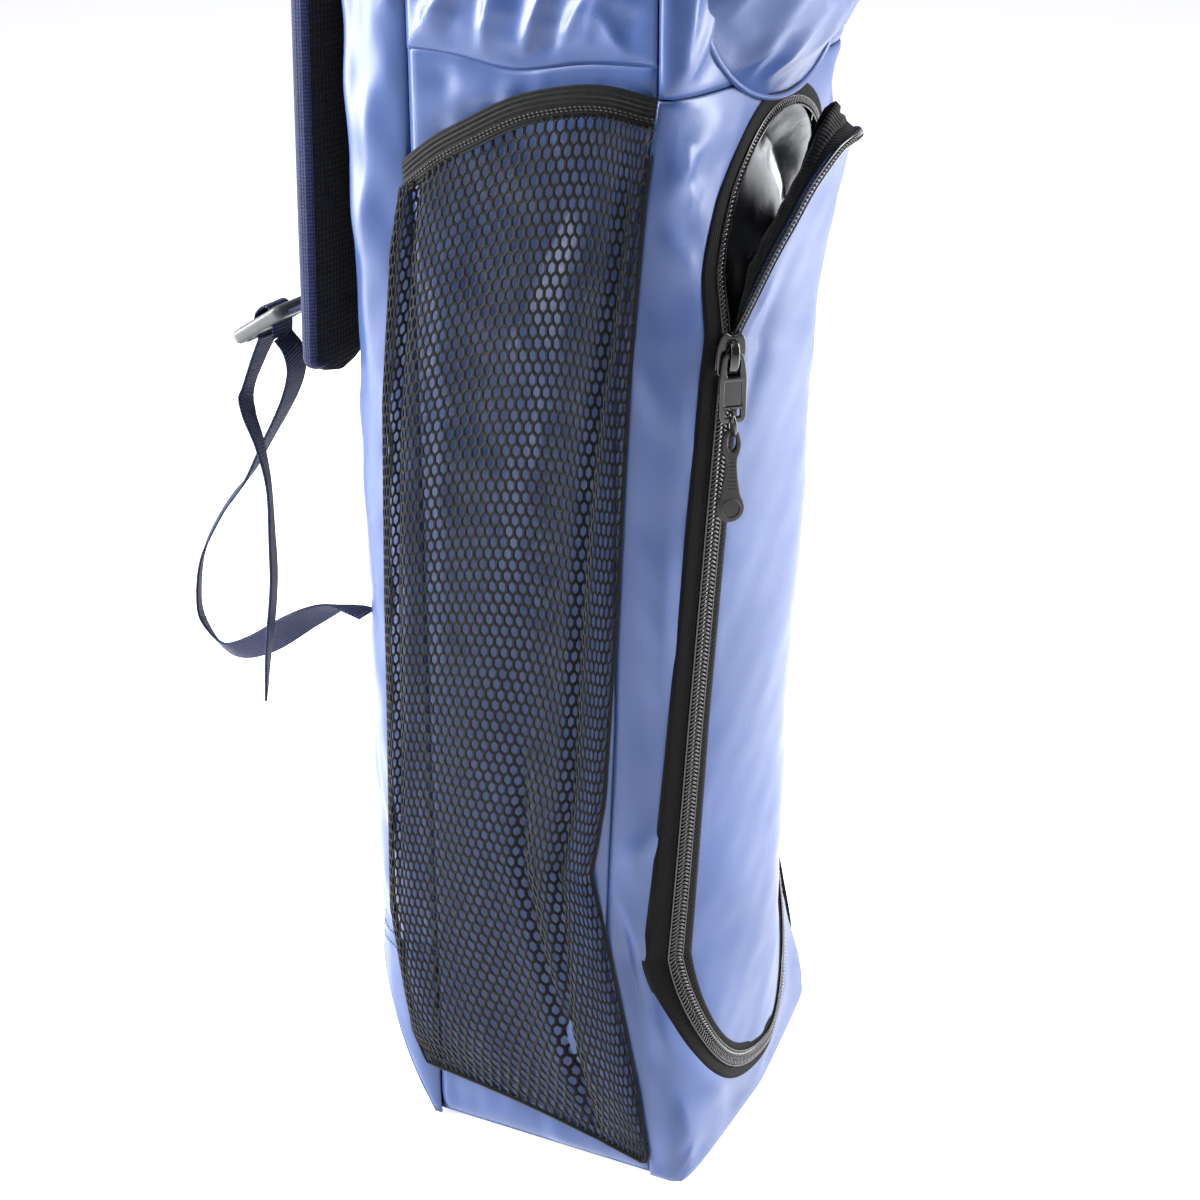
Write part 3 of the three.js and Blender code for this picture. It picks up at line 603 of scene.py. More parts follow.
def on_front(xz, lift=0.0):
    """Points (x, z) laid on the front, and the outward normals there."""
    x, z = xz[..., 0], xz[..., 1]
    y = front_y(x, z)
    e = 0.5
    dx = np.stack([np.full_like(x, 2 * e), front_y(x + e, z) - front_y(x - e, z), np.zeros_like(x)], -1)
    dz = np.stack([np.zeros_like(x), front_y(x, z + e) - front_y(x, z - e), np.full_like(x, 2 * e)], -1)
    normal = unit(np.cross(dx, dz))
    return np.stack([x, y, z], -1) + normal * lift, normal


def turned_in(grid, wrap, away):
    """True if the grid's own normals point against a direction, or towards the bag's upright axis."""
    normals = grid_normals(grid, wrap)
    out = np.array(away, float) if away is not None else grid * np.array([1, 1, 0]) - np.array([0, 10, 0])
    return float(np.sum(normals * out)) < 0


def fabric(name, grid, body, replaces=(), thick=2.2, material="coated_fabric", creases=(), wave=(0.8, 60),
           seed=1, seam=1.6, reach=14, wrap=False, away=None, inner=None):
    flip = turned_in(grid, wrap, away)
    shaped = cloth(grid, creases, wave, seed, seam, reach, wrap, flip)
    panel(name, shaped, thick, material, body, replaces, wrap, flip, inner)
    return shaped


def between(low, high, count):
    return np.linspace(low, high, count)


def both(build):
    for word, side in SIDES:
        build(word, side)


def mirrored(grid, side):
    return grid if side < 0 else flipped(grid)


# -------------------------------------------------------------- free webbing comes first

LOOP_ROUTE = [(-82, 118.6, 322), (-82, 130, 323.5), (-79, 144, 321), (-73, 172, 304), (-70, 208, 279),
              (-70, 233, 271), (-68, 252, 286), (-67, 255, 306), (-66, 249, 335), (-66, 230, 367),
              (-66, 211, 390), (-66, 197, 413), (-68, 177, 445), (-72, 167, 466), (-76, 166, 480),
              (-78, 171.5, 489)]
TAIL_ROUTE = [(-78, 181.4, 487.5), (-80, 189, 471), (-85, 194, 453), (-91, 190, 442), (-96, 179.5, 424),
              (-96, 175, 400), (-96, 175, 368), (-96, 176, 335), (-96, 183, 288), (-95, 187, 260)]
RIGHT_LOOP_ROUTE = [(-82, 118.6, 322), (-82, 126, 318), (-83, 134, 300), (-84, 140, 270), (-86, 147, 240),
                    (-88, 158, 226), (-88, 167, 236), (-87, 170, 260), (-85, 168, 300), (-82, 166, 350),
                    (-80, 164, 400), (-78.5, 163, 450), (-77.5, 165, 476), (-78, 171.5, 489)]
LOOP_TWIST = [(0, 0), (0.1, 40), (0.22, 60), (0.32, 50), (0.42, 30), (0.6, 24), (0.75, 12), (0.9, 2), (1, 0)]
RIGHT_LOOP_TWIST = [(0, 0), (0.3, 14), (0.6, -10), (1, 0)]
TAIL_TWIST = [(0, 0), (0.18, -16), (0.4, -30), (0.6, -24), (0.8, -20), (1, -32)]
WEB_WIDTH, WEB_THICK = 20.5, 1.7


def ribbon(name, route, twist, side, body, replaces, count):
    line = smooth_path(route, count)
    t = tangents(line)
    across = unit(np.array([1.0, 0, 0]) - t[:, :1] * t)
    out = np.cross(t, across)
    at = np.linspace(0, 1, count)
    angle = np.radians(np.interp(at, *np.array(twist, float).T))
    angle = np.convolve(np.pad(angle, 4, mode="edge"), np.ones(9) / 9, "valid")
    across = across * np.cos(angle)[:, None] + out * np.sin(angle)[:, None]
    verts, faces, uvs = tube_arrays(line, strap_section(WEB_WIDTH, WEB_THICK), across)
    if side > 0:
        verts, line, faces = verts * [-1, 1, 1], line * [-1, 1, 1], [f[::-1] for f in faces]
    made = make(name, verts, faces, "webbing", body, replaces, uvs)


def free_webbing(word, side):
    x = side * 78
    route, twist, bend = ((LOOP_ROUTE, LOOP_TWIST, (205, 400)) if side < 0 else
                          (RIGHT_LOOP_ROUTE, RIGHT_LOOP_TWIST, (171, 430)))
    ribbon(f"webbing_loop_{word}", route, twist, side,
           ("bag", f"strap_{word}", (x, 170, 300), (x, *bend)), [f"webbing_loop_{word}"], 121)
    ribbon(f"webbing_tail_{word}", TAIL_ROUTE, TAIL_TWIST, side, f"lock_{word}",
           [f"webbing_tail_{word}"], 81)


both(free_webbing)

# ----------------------------------------------------------------------- the front panel


def facing_grid():
    """Rings from the zip's edge out to the panel's edges, in shares of the way across."""
    count, steps, width, low_z, high_z = 340, 34, 350, 3, 652
    start = oval(8.5, count)
    u = front_share(start[:, 0], start[:, 1]) * width
    centre_z = np.clip(start[:, 1], OVAL_LOW[0], OVAL_HIGH[0])
    out = unit(np.stack([start[:, 0], start[:, 1] - centre_z], -1))
    reach = np.full(count, 1e9)
    for k in range(count):
        for axis, limit in ((0, 0), (0, width), (1, low_z), (1, high_z)):
            base = u[k] if axis == 0 else start[k, 1]
            if abs(out[k, axis]) > 1e-6:
                t = (limit - base) / out[k, axis]
                if t > 0:
                    reach[k] = min(reach[k], t)
    end = np.stack([u + out[:, 0] * reach, start[:, 1] + out[:, 1] * reach], -1)
    for corner in ((0, low_z), (width, low_z), (0, high_z), (width, high_z)):
        end[np.argmin(np.hypot(end[:, 0] - corner[0], end[:, 1] - corner[1]))] = corner
    r = (np.linspace(0, 1, steps) ** 1.25)[None, :, None]
    flat = np.stack([u, start[:, 1]], -1)[:, None] * (1 - r) + end[:, None] * r
    return front_at(flat[..., 0] / width, flat[..., 1])


FRONT_FOLDS = [
    ((-117, -82, 599), (-98, -112, 632), 6, 4.5, 1.2), ((-117, -81, 597), (-97, -106, 602), 5, 3.2, 1.2),
    ((-117, -80, 594), (-100, -102, 560), 7, 3.6, 1.2), ((-113, -100, 640), (-88, -118, 600), 12, -3, 1.6),
    ((-118, -70, 540), (-104, -98, 470), 12, 2.6, 1.5), ((-112, -88, 500), (-106, -88, 330), 13, 2.4, 1.6),
    ((-116, -70, 420), (-108, -86, 240), 9, -2.2, 1.5), ((-118, -60, 214), (-104, -92, 236), 6, 4.2, 1.2),
    ((-118, -60, 208), (-110, -84, 150), 6, 5.0, 1.15), ((-112, -84, 150), (-106, -100, 80), 8, 3.4, 1.3),
    ((-117, -66, 190), (-117, -84, 90), 10, -3.5, 1.6), ((-104, -104, 110), (-60, -116, 20), 11, 2.6, 1.5),
    ((-110, -108, 60), (-110, -110, 6), 7, 2.8, 1.3), ((-86, -112, 40), (-30, -116, 14), 9, -1.8, 1.6),
]


FAR_FOLD = 0.85  # folds on the far side are a little lower


def both_sides(creases):
    flip = [((-a[0], a[1], a[2]), (-b[0], b[1], b[2]), w, h * FAR_FOLD, s) for a, b, w, h, s in creases]
    return list(creases) + flip


def front_panel():
    fabric("front_panel", facing_grid(), "bag", ["front_facing"], 2.2, creases=both_sides(FRONT_FOLDS),
           wave=(1.1, 70), seed=4, seam=1.2, reach=16, wrap=True, inner="foam_lining")


front_panel()

# ------------------------------------------------------------------ zip tapes and chains


def around(offset, count):
    """A line round the zip, as points on the front, with their normals."""
    xz = oval(offset, count)
    xz = np.roll(xz, -int(np.argmin(np.abs(xz[:, 0]) + (xz[:, 1] < 400) * 1000)), axis=0)
    return on_front(xz)


def tape_strip(name, low, high, lift, count, body, replaces, thick=1.0):
    """A woven band between two offsets from the chain."""
    edges = [around(o, count) for o in np.linspace(low, high, 5)]
    grid = np.stack([p + n * (lift - 0.5 * (k in (0, 4))) for k, (p, n) in enumerate(edges)], 1)
    flip = turned_in(grid, True, None)
    return panel(name, grid, thick, "zip_tape", body, replaces, True, flip)


def chain_beads(line, normal, spread, pitch=2.5, radius=0.95, half=2.3, lift=1.0, lean=0.55, sides=(-1, 1)):
    """Coil turns on one or both sides of a line, each leaning along it."""
    run = running(line)
    parts = []
    for side in sides:
        at = np.arange(pitch * (0.5 + 0.25 * side), run[-1], pitch)
        pick = lambda a: at_lengths(a, run, at)
        c, t, n = pick(line), pick(tangents(line)), unit(pick(normal))
        across = unit(np.cross(t, n))
        parts.append(beads(c + across * side * spread + n * lift, across * side + t * lean, n, half, radius))
    return merge(parts)


def cord_tube(line, normal, radius, squash=1.0, lift=0.0, shift=0.0, sides=8):
    across = unit(np.cross(tangents(line), normal))
    return tube_arrays(line + normal * lift + across * shift, round_section(radius, sides, squash), across)


CHAIN_TOP = 507


def front_zip():
    tape_strip("front_zip_outer_tape", 3.4, 13, 1.0, 420, "bag", ["front_zip_outer_tape"])
    line, normal = around(0, 900)
    order = np.argsort(np.arctan2(line[:, 0], 300 - line[:, 2]))
    kept = order[line[order, 2] < CHAIN_TOP]
    line, normal = line[kept], normal[kept]
    parts = [chain_beads(line, normal, 2.0, lift=1.9), cord_tube(line, normal, 1.5, 0.6, 0.9, 0.0)]
    parts += [cord_tube(line, normal, 0.55, 1.0, 1.9, s * 4.6, 6) for s in (-1, 1)]
    piece("front_zip_chain", merge(parts), "zip_coil", "bag", ["front_zip_chain"])
    # The body side of the open part: one row of turns, from the slider over the top.
    line, normal = around(2.6, 900)
    order = np.argsort(np.arctan2(line[:, 0], line[:, 2] - 300))
    kept = order[line[order, 2] > CHAIN_TOP + 18]
    line, normal = line[kept], normal[kept]
    parts = [chain_beads(line, normal, 0.0, lift=1.7, half=2.1, sides=(1,)),
             cord_tube(line, normal, 0.55, 1.0, 1.8, 2.6, 6), cord_tube(line, normal, 0.55, 1.0, 1.8, -2.2, 6)]
    piece("front_zip_open_coil", merge(parts), "zip_coil", "bag", ["front_zip_open_coil"])


front_zip()

# ------------------------------------------------------------ the cover and its open flap

# Left edge of the opened flap and its middle, from the slider up over the curled top.
FLAP_EDGE = [(-86.2, -116, 519), (-84, -120.5, 531), (-79, -127, 548), (-71, -134, 568), (-62, -140, 584),
             (-50, -145, 600), (-38, -148.5, 610), (-25, -151, 617), (-12, -152.8, 620), (-2, -153.6, 621)]
FLAP_MIDDLE = [(-132.0, 519), (-133.6, 531), (-136.5, 547), (-139.5, 563), (-141.5, 577), (-143.5, 590),
               (-145.5, 600), (-147.8, 609), (-150.5, 616), (-153.4, 620.5)]


FLAP_FOOT = 517.0


def flap_slump(x):
    """How far the flap's right half falls back, to meet the slumped front below it."""
    side, crest, square, _ = station(FLAP_FOOT)
    full = (1 - np.minimum(np.abs(x) / HALF_WIDTH, 1) ** square) ** (1 / square)
    return front_y(x, FLAP_FOOT) - side - (crest - side) * full


def cover_grid():
    """Rows from the foot of the oval up to the flap's rim, each from left edge to right edge."""
    columns = 61
    t = np.sin(np.linspace(-1, 1, columns) * np.pi / 2)
    rows = []
    inset = 6.5
    radius = OVAL_LOW[1] - inset
    for angle in np.linspace(0.08, np.pi / 2, 26):
        z = OVAL_LOW[0] - radius * math.cos(angle)
        rows.append((radius * math.sin(angle), z))
    rise = OVAL_HIGH[0] - OVAL_LOW[0]
    for z in np.linspace(150, 515, 74):
        share = (z - OVAL_LOW[0]) / rise
        rows.append((radius + (OVAL_HIGH[1] - inset - radius) * share, z))
    grid = []
    for half, z in rows:
        xz = np.stack([t * half, np.full(columns, z)], -1)
        grid.append(on_front(xz, 0.6)[0])
    edge, middle = smooth_path(FLAP_EDGE, 46)[1:], smooth_path(FLAP_MIDDLE, 46)[1:]
    for (x, y, z), (my, mz) in zip(edge, middle):
        s = np.abs(t)
        inset_now = 5.5 * smoothstep(545 - z, 0, 24)
        across = t * (abs(x) - inset_now)
        grid.append(np.stack([across, my + (y - my) * s**2.3 + flap_slump(across), mz + (z - mz) * s**2], -1))
    return np.stack(grid, 1)


COVER_FOLDS = [
    ((-40, -128, 300), (10, -131, 420), 26, 1.6, 1.8), ((-70, -112, 200), (-20, -124, 120), 20, 1.5, 1.7),
    ((-72, -120, 480), (-50, -132, 560), 9, -2.2, 1.5), ((-80, -118, 500), (-66, -132, 556), 5, 1.8, 1.3),
    ((30, -128, 520), (60, -128, 400), 18, 1.5, 1.7), ((-20, -122, 90), (40, -122, 130), 16, 1.2, 1.7),
]
HINGE = ("bag", "pocket_flap", (0, -132, 516), (0, -136, 552))


def front_cover():
    fabric("front_cover", cover_grid(), HINGE, ["pocket_cover", "pocket_flap"], 2.0, creases=COVER_FOLDS,
           wave=(0.9, 80), seed=8, seam=0.9, reach=12, inner="foil")


front_cover()


def rim_line(count):
    """The flap's edge from the left foot over the top to the right foot, with outward normals."""
    left = smooth_path(FLAP_EDGE, 120)
    line = np.concatenate([left, flipped(left[::-1])[1:]])
    line = smooth_path(line[::6], count)
    line[:, 1] += flap_slump(line[:, 0])
    out = unit(np.stack([line[:, 0] * 0.011, np.full(len(line), -0.9), 0.35 * smoothstep(line[:, 2], 560, 620)], -1))
    t = tangents(line)
    return line, unit(out - np.sum(out * t, -1, keepdims=True) * t)


def flap_rim():
    line, out = rim_line(300)
    outward = np.cross(tangents(line), out)  # away from the flap's middle, over its edge
    parts = [chain_beads(line, unit(out * 0.7 - outward * 0.7), 0.0, lift=0.6, half=2.1, radius=0.98, sides=(1,)),
             cord_tube(line, out, 0.6, 1.0, 1.2, 1.8, 6), cord_tube(line, out, 0.6, 1.0, 1.2, -1.4, 6)]
    piece("flap_coil", merge(parts), "zip_coil", HINGE, ["flap_coil"])
    # The tape turns back from the coil, and a bound seam allowance stands behind it.
    share = np.minimum(1, smoothstep(line[:, 2], 519, 566) + 0.15)[:, None]
    inward = unit(np.stack([-0.62 * np.tanh(line[:, 0] / 30), np.full(len(line), 0.78),
                            0.1 + 0.5 * smoothstep(line[:, 2], 600, 622)], -1))
    lean = unit(np.stack([-0.8 * np.tanh(line[:, 0] / 30), np.full(len(line), 0.45),
                          0.1 + 0.9 * smoothstep(line[:, 2], 600, 622)], -1))
    tape = np.stack([line + inward * share * d for d in (0.8, 3.5, 6.5, 9.2)], 1)
    panel("flap_zip_tape", tape, 1.0, "zip_tape", HINGE, ["flap_zip_tape"], flip=turned_in(tape, False, (0, 1, 0)))
    base = line + inward * share * 9.0
    band = np.stack([base + (inward * 0.2 + lean) * share * d + out * 0.8 * math.sin(d)
                     for d in (0, 2.5, 5, 7.5, 10)], 1)
    band = band + grid_normals(band) * (0.5 * ripple(band, 9, 3))[..., None]
    panel("flap_binding", band, 1.6, "binding", HINGE, flip=turned_in(band, False, (0, 1, 0)))


flap_rim()


def closed_inner_tape():
    edges = [around(-o, 520) for o in (3.4, 5.4, 7.4, 9.4)]
    base = edges[0][0]
    order = np.argsort(np.arctan2(base[:, 0], 300 - base[:, 2]))
    top = np.where(base[order, 0] > 0, 548, 524)
    kept = order[base[order, 2] < top]
    grid = np.stack([p[kept] + n[kept] * 0.9 for p, n in edges], 1)
    panel("front_zip_inner_tape", grid, 1.0, "zip_tape", "bag", ["front_zip_inner_tape"],
          flip=turned_in(grid, False, None))


closed_inner_tape()


def foil_lining():
    """The crumpled silver pocket: in from the zip's edge to its back wall."""
    count, steps = 220, 30
    edge, normal = around(1.0, count)
    edge = edge - normal * 2.4
    centre = np.array([0, -84, 345.0])
    r = np.linspace(0, 1, steps)[None, :, None]
    inner = np.stack([edge[:, 0] * 0.86, np.full(count, -83.0), (edge[:, 2] - 345) * 0.95 + 345], -1)
    inner[:, 1] = np.maximum(-83, front_y(inner[:, 0], inner[:, 2]) + 8)
    wall = smoothstep(r, 0, 0.42)
    grid = edge[:, None] * (1 - wall) + inner[:, None] * wall
    to_middle = np.clip((r - 0.42) / 0.58, 0, 1)
    grid = grid * (1 - to_middle * 0.97) + centre * to_middle * 0.97
    rng = np.random.default_rng(21)
    creases = []
    for _ in range(46):
        x, z = rng.uniform(-74, 74), rng.uniform(70, 622)
        dx, dz = rng.normal(size=2) * (16, 30)
        creases.append(((x, -84, z), (x + dx, -84, z + dz), rng.uniform(3, 7), rng.uniform(-4, 3), 1.1))
    creases += [((-72, -96, 560), (-50, -84, 600), 5, 5, 1.1), ((-60, -84, 590), (-66, -88, 530), 6, -4, 1.1)]
    fabric("pocket_lining", grid, "bag", ["pocket_lining"], 0.8, "foil", creases, (1.6, 34), 12, 0.2, 18,
           wrap=True, away=(0, -1, 0))


foil_lining()

# ------------------------------------------------------------------- sides, rear and base

HEEL_SLOPE = (BACK_Y - HEEL_Y) / HEEL_Z


def heel_low(y):
    return max(0.0, (y - HEEL_Y + 2.4) / HEEL_SLOPE)


SIDE_FOLDS = [
    ((-118, -60, 610), (-118, 6, 330), 15, 4.2, 1.7), ((-118, -40, 600), (-118, 20, 480), 9, -2.6, 1.6),
    ((-118, 30, 560), (-118, 44, 300), 12, 2.4, 1.7), ((-118, -30, 420), (-118, -6, 180), 14, 3.2, 1.6),
    ((-118, -50, 300), (-118, -20, 120), 9, -2.2, 1.5), ((-118, 10, 220), (-118, 34, 80), 12, 2.2, 1.6),
    ((-118, -60, 170), (-118, -30, 60), 9, 2.8, 1.5), ((-118, 44, 640), (-118, -20, 652), 9, 2.0, 1.6),
    ((-118, -76, 640), (-118, -30, 628), 6, 1.8, 1.4), ((-118, -10, 655), (-118, 8, 610), 8, 1.8, 1.5),
]
UPPER_SIDE_FOLDS = [
    ((-118, 50, 676), (-118, 10, 720), 7, 3.4, 1.3), ((-118, 10, 672), (-118, -6, 740), 6, 4.0, 1.25),
    ((-118, -14, 672), (-118, -40, 730), 5, 4.4, 1.2), ((-118, -34, 674), (-118, -60, 716), 5, 3.6, 1.2),
    ((-118, -50, 680), (-118, -80, 760), 7, 4.0, 1.3), ((-118, 30, 690), (-118, 44, 860), 16, 3.0, 1.7),
    ((-118, -20, 760), (-118, 20, 870), 14, -2.6, 1.7), ((-118, -70, 700), (-118, -74, 860), 8, 3.2, 1.5),
    ((-118, 0, 700), (-118, -50, 820), 9, 2.4, 1.4), ((-118, -78, 660), (-118, -60, 690), 5, 3.2, 1.2),
]
STRIP_FOLDS = [
    ((-116, 80, 640), (-114, 92, 500), 9, 2.6, 1.6), ((-108, 100, 720), (-112, 92, 560), 8, 3.2, 1.5),
    ((-112, 90, 880), (-110, 98, 690), 8, 3.0, 1.5), ((-117, 66, 860), (-117, 64, 690), 6, 3.4, 1.4),
    ((-104, 104, 480), (-112, 92, 330), 10, 2.2, 1.6), ((-110, 96, 320), (-116, 76, 200), 9, 2.0, 1.6),
    ((-100, 108, 260), (-112, 90, 150), 7, -1.6, 1.5), ((-118, 60, 420), (-117, 72, 250), 7, 1.8, 1.5),
]


def seam_warp(grid):
    """The seam across the side hangs lower in its middle."""
    near = np.exp(-((grid[..., 1] + 8) / 30) ** 2) * np.exp(-((grid[..., 2] - SIDE_SEAM_Z) / 34) ** 2)
    grid[..., 2] -= 7 * near
    return grid


SIDE_X = 117.8


def side_grid(low, high, columns, rows):
    """The flat side between two heights, from the front's edge back to the side seam."""
    grid = np.zeros((columns, rows, 3))
    for k, z in enumerate(between(low, high, rows)):
        grid[:, k] = np.stack([np.full(columns, -SIDE_X), between(station(z)[0] + 0.4, SIDE_SEAM_Y - 0.3, columns),
                               np.full(columns, z)], -1)
    return grid


def side_panels(word, side):
    grid = side_grid(1.2, SIDE_SEAM_Z + 1.6, 44, 150)
    # The bottom edge turns under.
    grid[..., 0] += 5 * np.exp(-(grid[..., 2] / 7) ** 1.5)
    fabric(f"side_panel_{word}", mirrored(seam_warp(grid), side), "bag", [f"side_panel_{word}"],
           creases=both_sides(SIDE_FOLDS), wave=(1.4, 55), seed=30 + side, seam=1.5)
    upper = seam_warp(side_grid(SIDE_SEAM_Z - 0.4, RIM_Z, 64, 90))
    fabric(f"upper_side_panel_{word}", mirrored(upper, side), "bag", [f"upper_side_panel_{word}"],
           creases=both_sides(UPPER_SIDE_FOLDS), wave=(1.5, 42), seed=40 + side, seam=0.9)


both(side_panels)


def strip_path(count):
    """Plan of the rear strip, from the side seam round to the back panel."""
    angle = between(0, np.pi / 2, 60)
    flat = np.stack([np.full(12, -HALF_WIDTH), between(SIDE_SEAM_Y, BACK_Y - REAR_RADIUS, 12)], -1)[:-1]
    turn = np.stack([-(HALF_WIDTH - REAR_RADIUS) - REAR_RADIUS * np.cos(angle),
                     BACK_Y - REAR_RADIUS + REAR_RADIUS * np.sin(angle)], -1)
    line = np.concatenate([flat, turn])
    run = running(line)
    at = between(0.3, run[-1] - 0.3, count)
    return at_lengths(line, run, at)


HEM_Z = (113, 126)


def rear_strips(word, side):
    columns, rows = 34, 200
    plan = strip_path(columns)
    grid = np.zeros((columns, rows, 3))
    for k, (x, y) in enumerate(plan):
        grid[k] = np.stack([np.full(rows, x * 0.998), np.full(rows, y), between(heel_low(y) + 1.2, RIM_Z, rows)], -1)
    out = unit(grid * [1, 1, 0] - [-60, 40, 0])
    fold = np.exp(-((grid[..., 2] - HEM_Z[1]) / 1.5) ** 2) * -1.3 + 0.9 * smoothstep(grid[..., 2], 127, 121)
    shaped = fabric(f"rear_strip_{word}", mirrored(grid + out * fold[..., None], side), "bag",
                    [f"rear_strip_{word}"], creases=both_sides(STRIP_FOLDS), wave=(1.5, 58),
                    seed=50 + side, seam=1.6)
    out = mirrored(out, side)
    parts = []
    for level in (HEM_Z[0], HEM_Z[0] + 8):
        row = np.array([np.argmin(np.abs(shaped[k, :, 2] - level)) for k in range(columns)])
        keep = [k for k in range(columns) if abs(shaped[k, row[k], 2] - level) < 5]
        line = np.array([shaped[k, row[k]] for k in keep])
        line[:, 2] = level
        parts.append(stitching(line, np.array([out[k, row[k]] for k in keep]), lift=0.5))
    piece(f"hem_stitching_{word}", merge(parts), "thread", "bag")


both(rear_strips)


def base_and_heel():
    # The heel rises from the base to the back panel, and keeps inside the bag's round corners.
    columns, rows = 70, 26
    grid = np.zeros((columns, rows, 3))
    for j, z in enumerate(between(0.6, HEEL_Z, rows)):
        y = HEEL_Y + z * HEEL_SLOPE - 0.6
        reach = HALF_WIDTH - 0.3
        if y > BACK_Y - REAR_RADIUS:
            turn = min(1, (y - BACK_Y + REAR_RADIUS) / REAR_RADIUS)
            reach = HALF_WIDTH - REAR_RADIUS + REAR_RADIUS * math.sqrt(1 - turn**2)
        grid[:, j] = np.stack([between(-reach, reach, columns), np.full(columns, y), np.full(columns, z)], -1)
    fabric("heel_panel", grid, "bag", ["heel_panel"], 2.4, creases=[
        ((-90, 80, 20), (-40, 90, 60), 12, 2, 1.5), ((30, 80, 30), (90, 95, 70), 14, 1.8, 1.5),
        ((-30, 70, 10), (20, 100, 70), 10, -1.4, 1.5)], wave=(1.0, 46), seed=61, seam=1.4, away=(0, 1, -0.6))
    columns, rows = 60, 56
    x = between(3.2 - HALF_WIDTH, HALF_WIDTH - 3.2, columns)
    share = between(0, 1, rows)
    front, rear = front_y(x, 0.0) + 3, HEEL_Y - 1
    y = front[:, None] + (rear - front[:, None]) * share
    grid = np.stack([np.repeat(x[:, None], rows, 1), y, np.full((columns, rows), 0.6)], -1)
    edge = np.minimum(HALF_WIDTH - 3.2 - np.abs(grid[..., 0]), y - front[:, None])
    grid[..., 2] += 3.4 * np.exp(-(np.maximum(edge, 0) / 5) ** 1.4)
    panel("base_panel", grid, 3.0, "coated_fabric", "bag", ["base_panel"], flip=turned_in(grid, False, (0, 0, -1)))
    # The board inside, and the stiff sheet in the back.
    for node in ("base_board", "back_sheet"):
        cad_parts[node].data.materials.clear()
        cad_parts[node].data.materials.append(MATERIAL["board"])


base_and_heel()


def upper_front():
    columns, rows = 110, 84
    u = between(0.002, 0.998, columns)
    grid = np.stack([front_at(u, np.full(columns, z)) for z in between(652.5, RIM_Z, rows)], 1)
    folds_here = both_sides([
        ((-112, -96, 660), (-100, -104, 740), 7, 4.0, 1.3), ((-106, -100, 664), (-84, -106, 700), 6, 3.0, 1.3),
        ((-116, -92, 700), (-112, -98, 860), 7, 3.0, 1.5), ((-100, -104, 760), (-104, -102, 870), 8, -2.2, 1.6)])
    fabric("upper_front_panel", grid, "bag", ["upper_front_panel"], 2.2, creases=folds_here,
           wave=(1.2, 50), seed=71, seam=1.6, inner="foam_lining")


upper_front()

UPPER_HALF, UPPER_FOOT, UPPER_SHOULDER, UPPER_TOP, UPPER_CREST = 104, 638, 712, 850, -142


def upper_pocket_surface(x, z):
    """The upper pocket's belly: pulled in at its U-shaped seam and along its top."""
    share = np.abs(x) / UPPER_HALF
    foot = UPPER_SHOULDER - (UPPER_SHOULDER - UPPER_FOOT) * np.sqrt(np.maximum(1 - share**2, 0))
    out = np.where(x > 0, np.maximum(1 - share**2, 0) ** 0.78, np.maximum(1 - share**3.0, 0) ** (1 / 2.2))
    rise = smoothstep(z, foot, foot + 58) ** 0.8
    top = 1 - 0.22 * smoothstep(z, 800, UPPER_TOP)
    root = front_y(x, z) - 0.6
    belly = -70 + (UPPER_CREST + 70) * out
    return root + (np.minimum(belly, root - 4) - root) * rise * top, foot


def upper_pocket():
    columns, rows = 110, 66
    x = UPPER_HALF * np.sin(np.linspace(-1, 1, columns) * np.pi / 2 * 0.995)
    grid = np.zeros((columns, rows, 3))
    for j, share in enumerate(between(0, 1, rows) ** 1.25):
        _, foot = upper_pocket_surface(x, np.full(columns, 700.0))
        z = foot + 0.5 + (UPPER_TOP - foot - 0.5) * share
        y, _ = upper_pocket_surface(x, z)
        grid[:, j] = np.stack([x, y, z], -1)
    pleats = both_sides([
        ((-84, -112, 690), (-60, -138, 740), 7, 4.2, 1.3), ((-60, -112, 660), (-44, -138, 712), 7, 4.0, 1.3),
        ((-34, -118, 648), (-26, -140, 700), 7, 3.4, 1.3), ((-8, -118, 642), (-4, -142, 696), 8, 3.4, 1.4),
        ((-90, -110, 730), (-70, -134, 800), 9, 3.2, 1.5), ((-30, -140, 700), (20, -142, 820), 22, 2.2, 1.7),
        ((-60, -138, 745), (-70, -128, 840), 12, -2.4, 1.6)])
    shaped = fabric("upper_front_pocket", grid, "bag", ["upper_front_pocket"], 2.2, creases=pleats,
                    wave=(1.5, 48), seed=81, seam=1.2, inner="foam_lining")
    # Piping and stitches follow the seam; the top closes over the pocket with a short welt.
    line = shaped[:, 0] + np.array([0, -1.2, -0.4])
    piece("upper_pocket_piping", cord_tube(line, np.tile([0.0, -1, -0.3], (columns, 1)), 1.7),
          "coated_fabric", "bag")
    row = shaped[:, 5]
    piece("upper_pocket_stitching", stitching(row, grid_normals(shaped)[:, 5] * -1, lift=0.2), "thread", "bag")
    welt = np.zeros((columns, 14, 3))
    edge = shaped[:, -1]
    back = np.stack([edge[:, 0], front_y(edge[:, 0], np.full(columns, 856.0)) - 0.8,
                     np.full(columns, UPPER_TOP + 4.0)], -1)
    for j, share in enumerate(between(0, 1, 14)):
        arch = math.sin(math.pi * share) * 3.5
        welt[:, j] = edge * (1 - share) + back * share + np.array([0, 0, arch * 0.4])
    fabric("upper_pocket_top", welt, "bag", (), 1.8, creases=(), wave=(0.5, 40), seed=83, seam=0.5,
           away=(0, -0.3, 1))


upper_pocket()


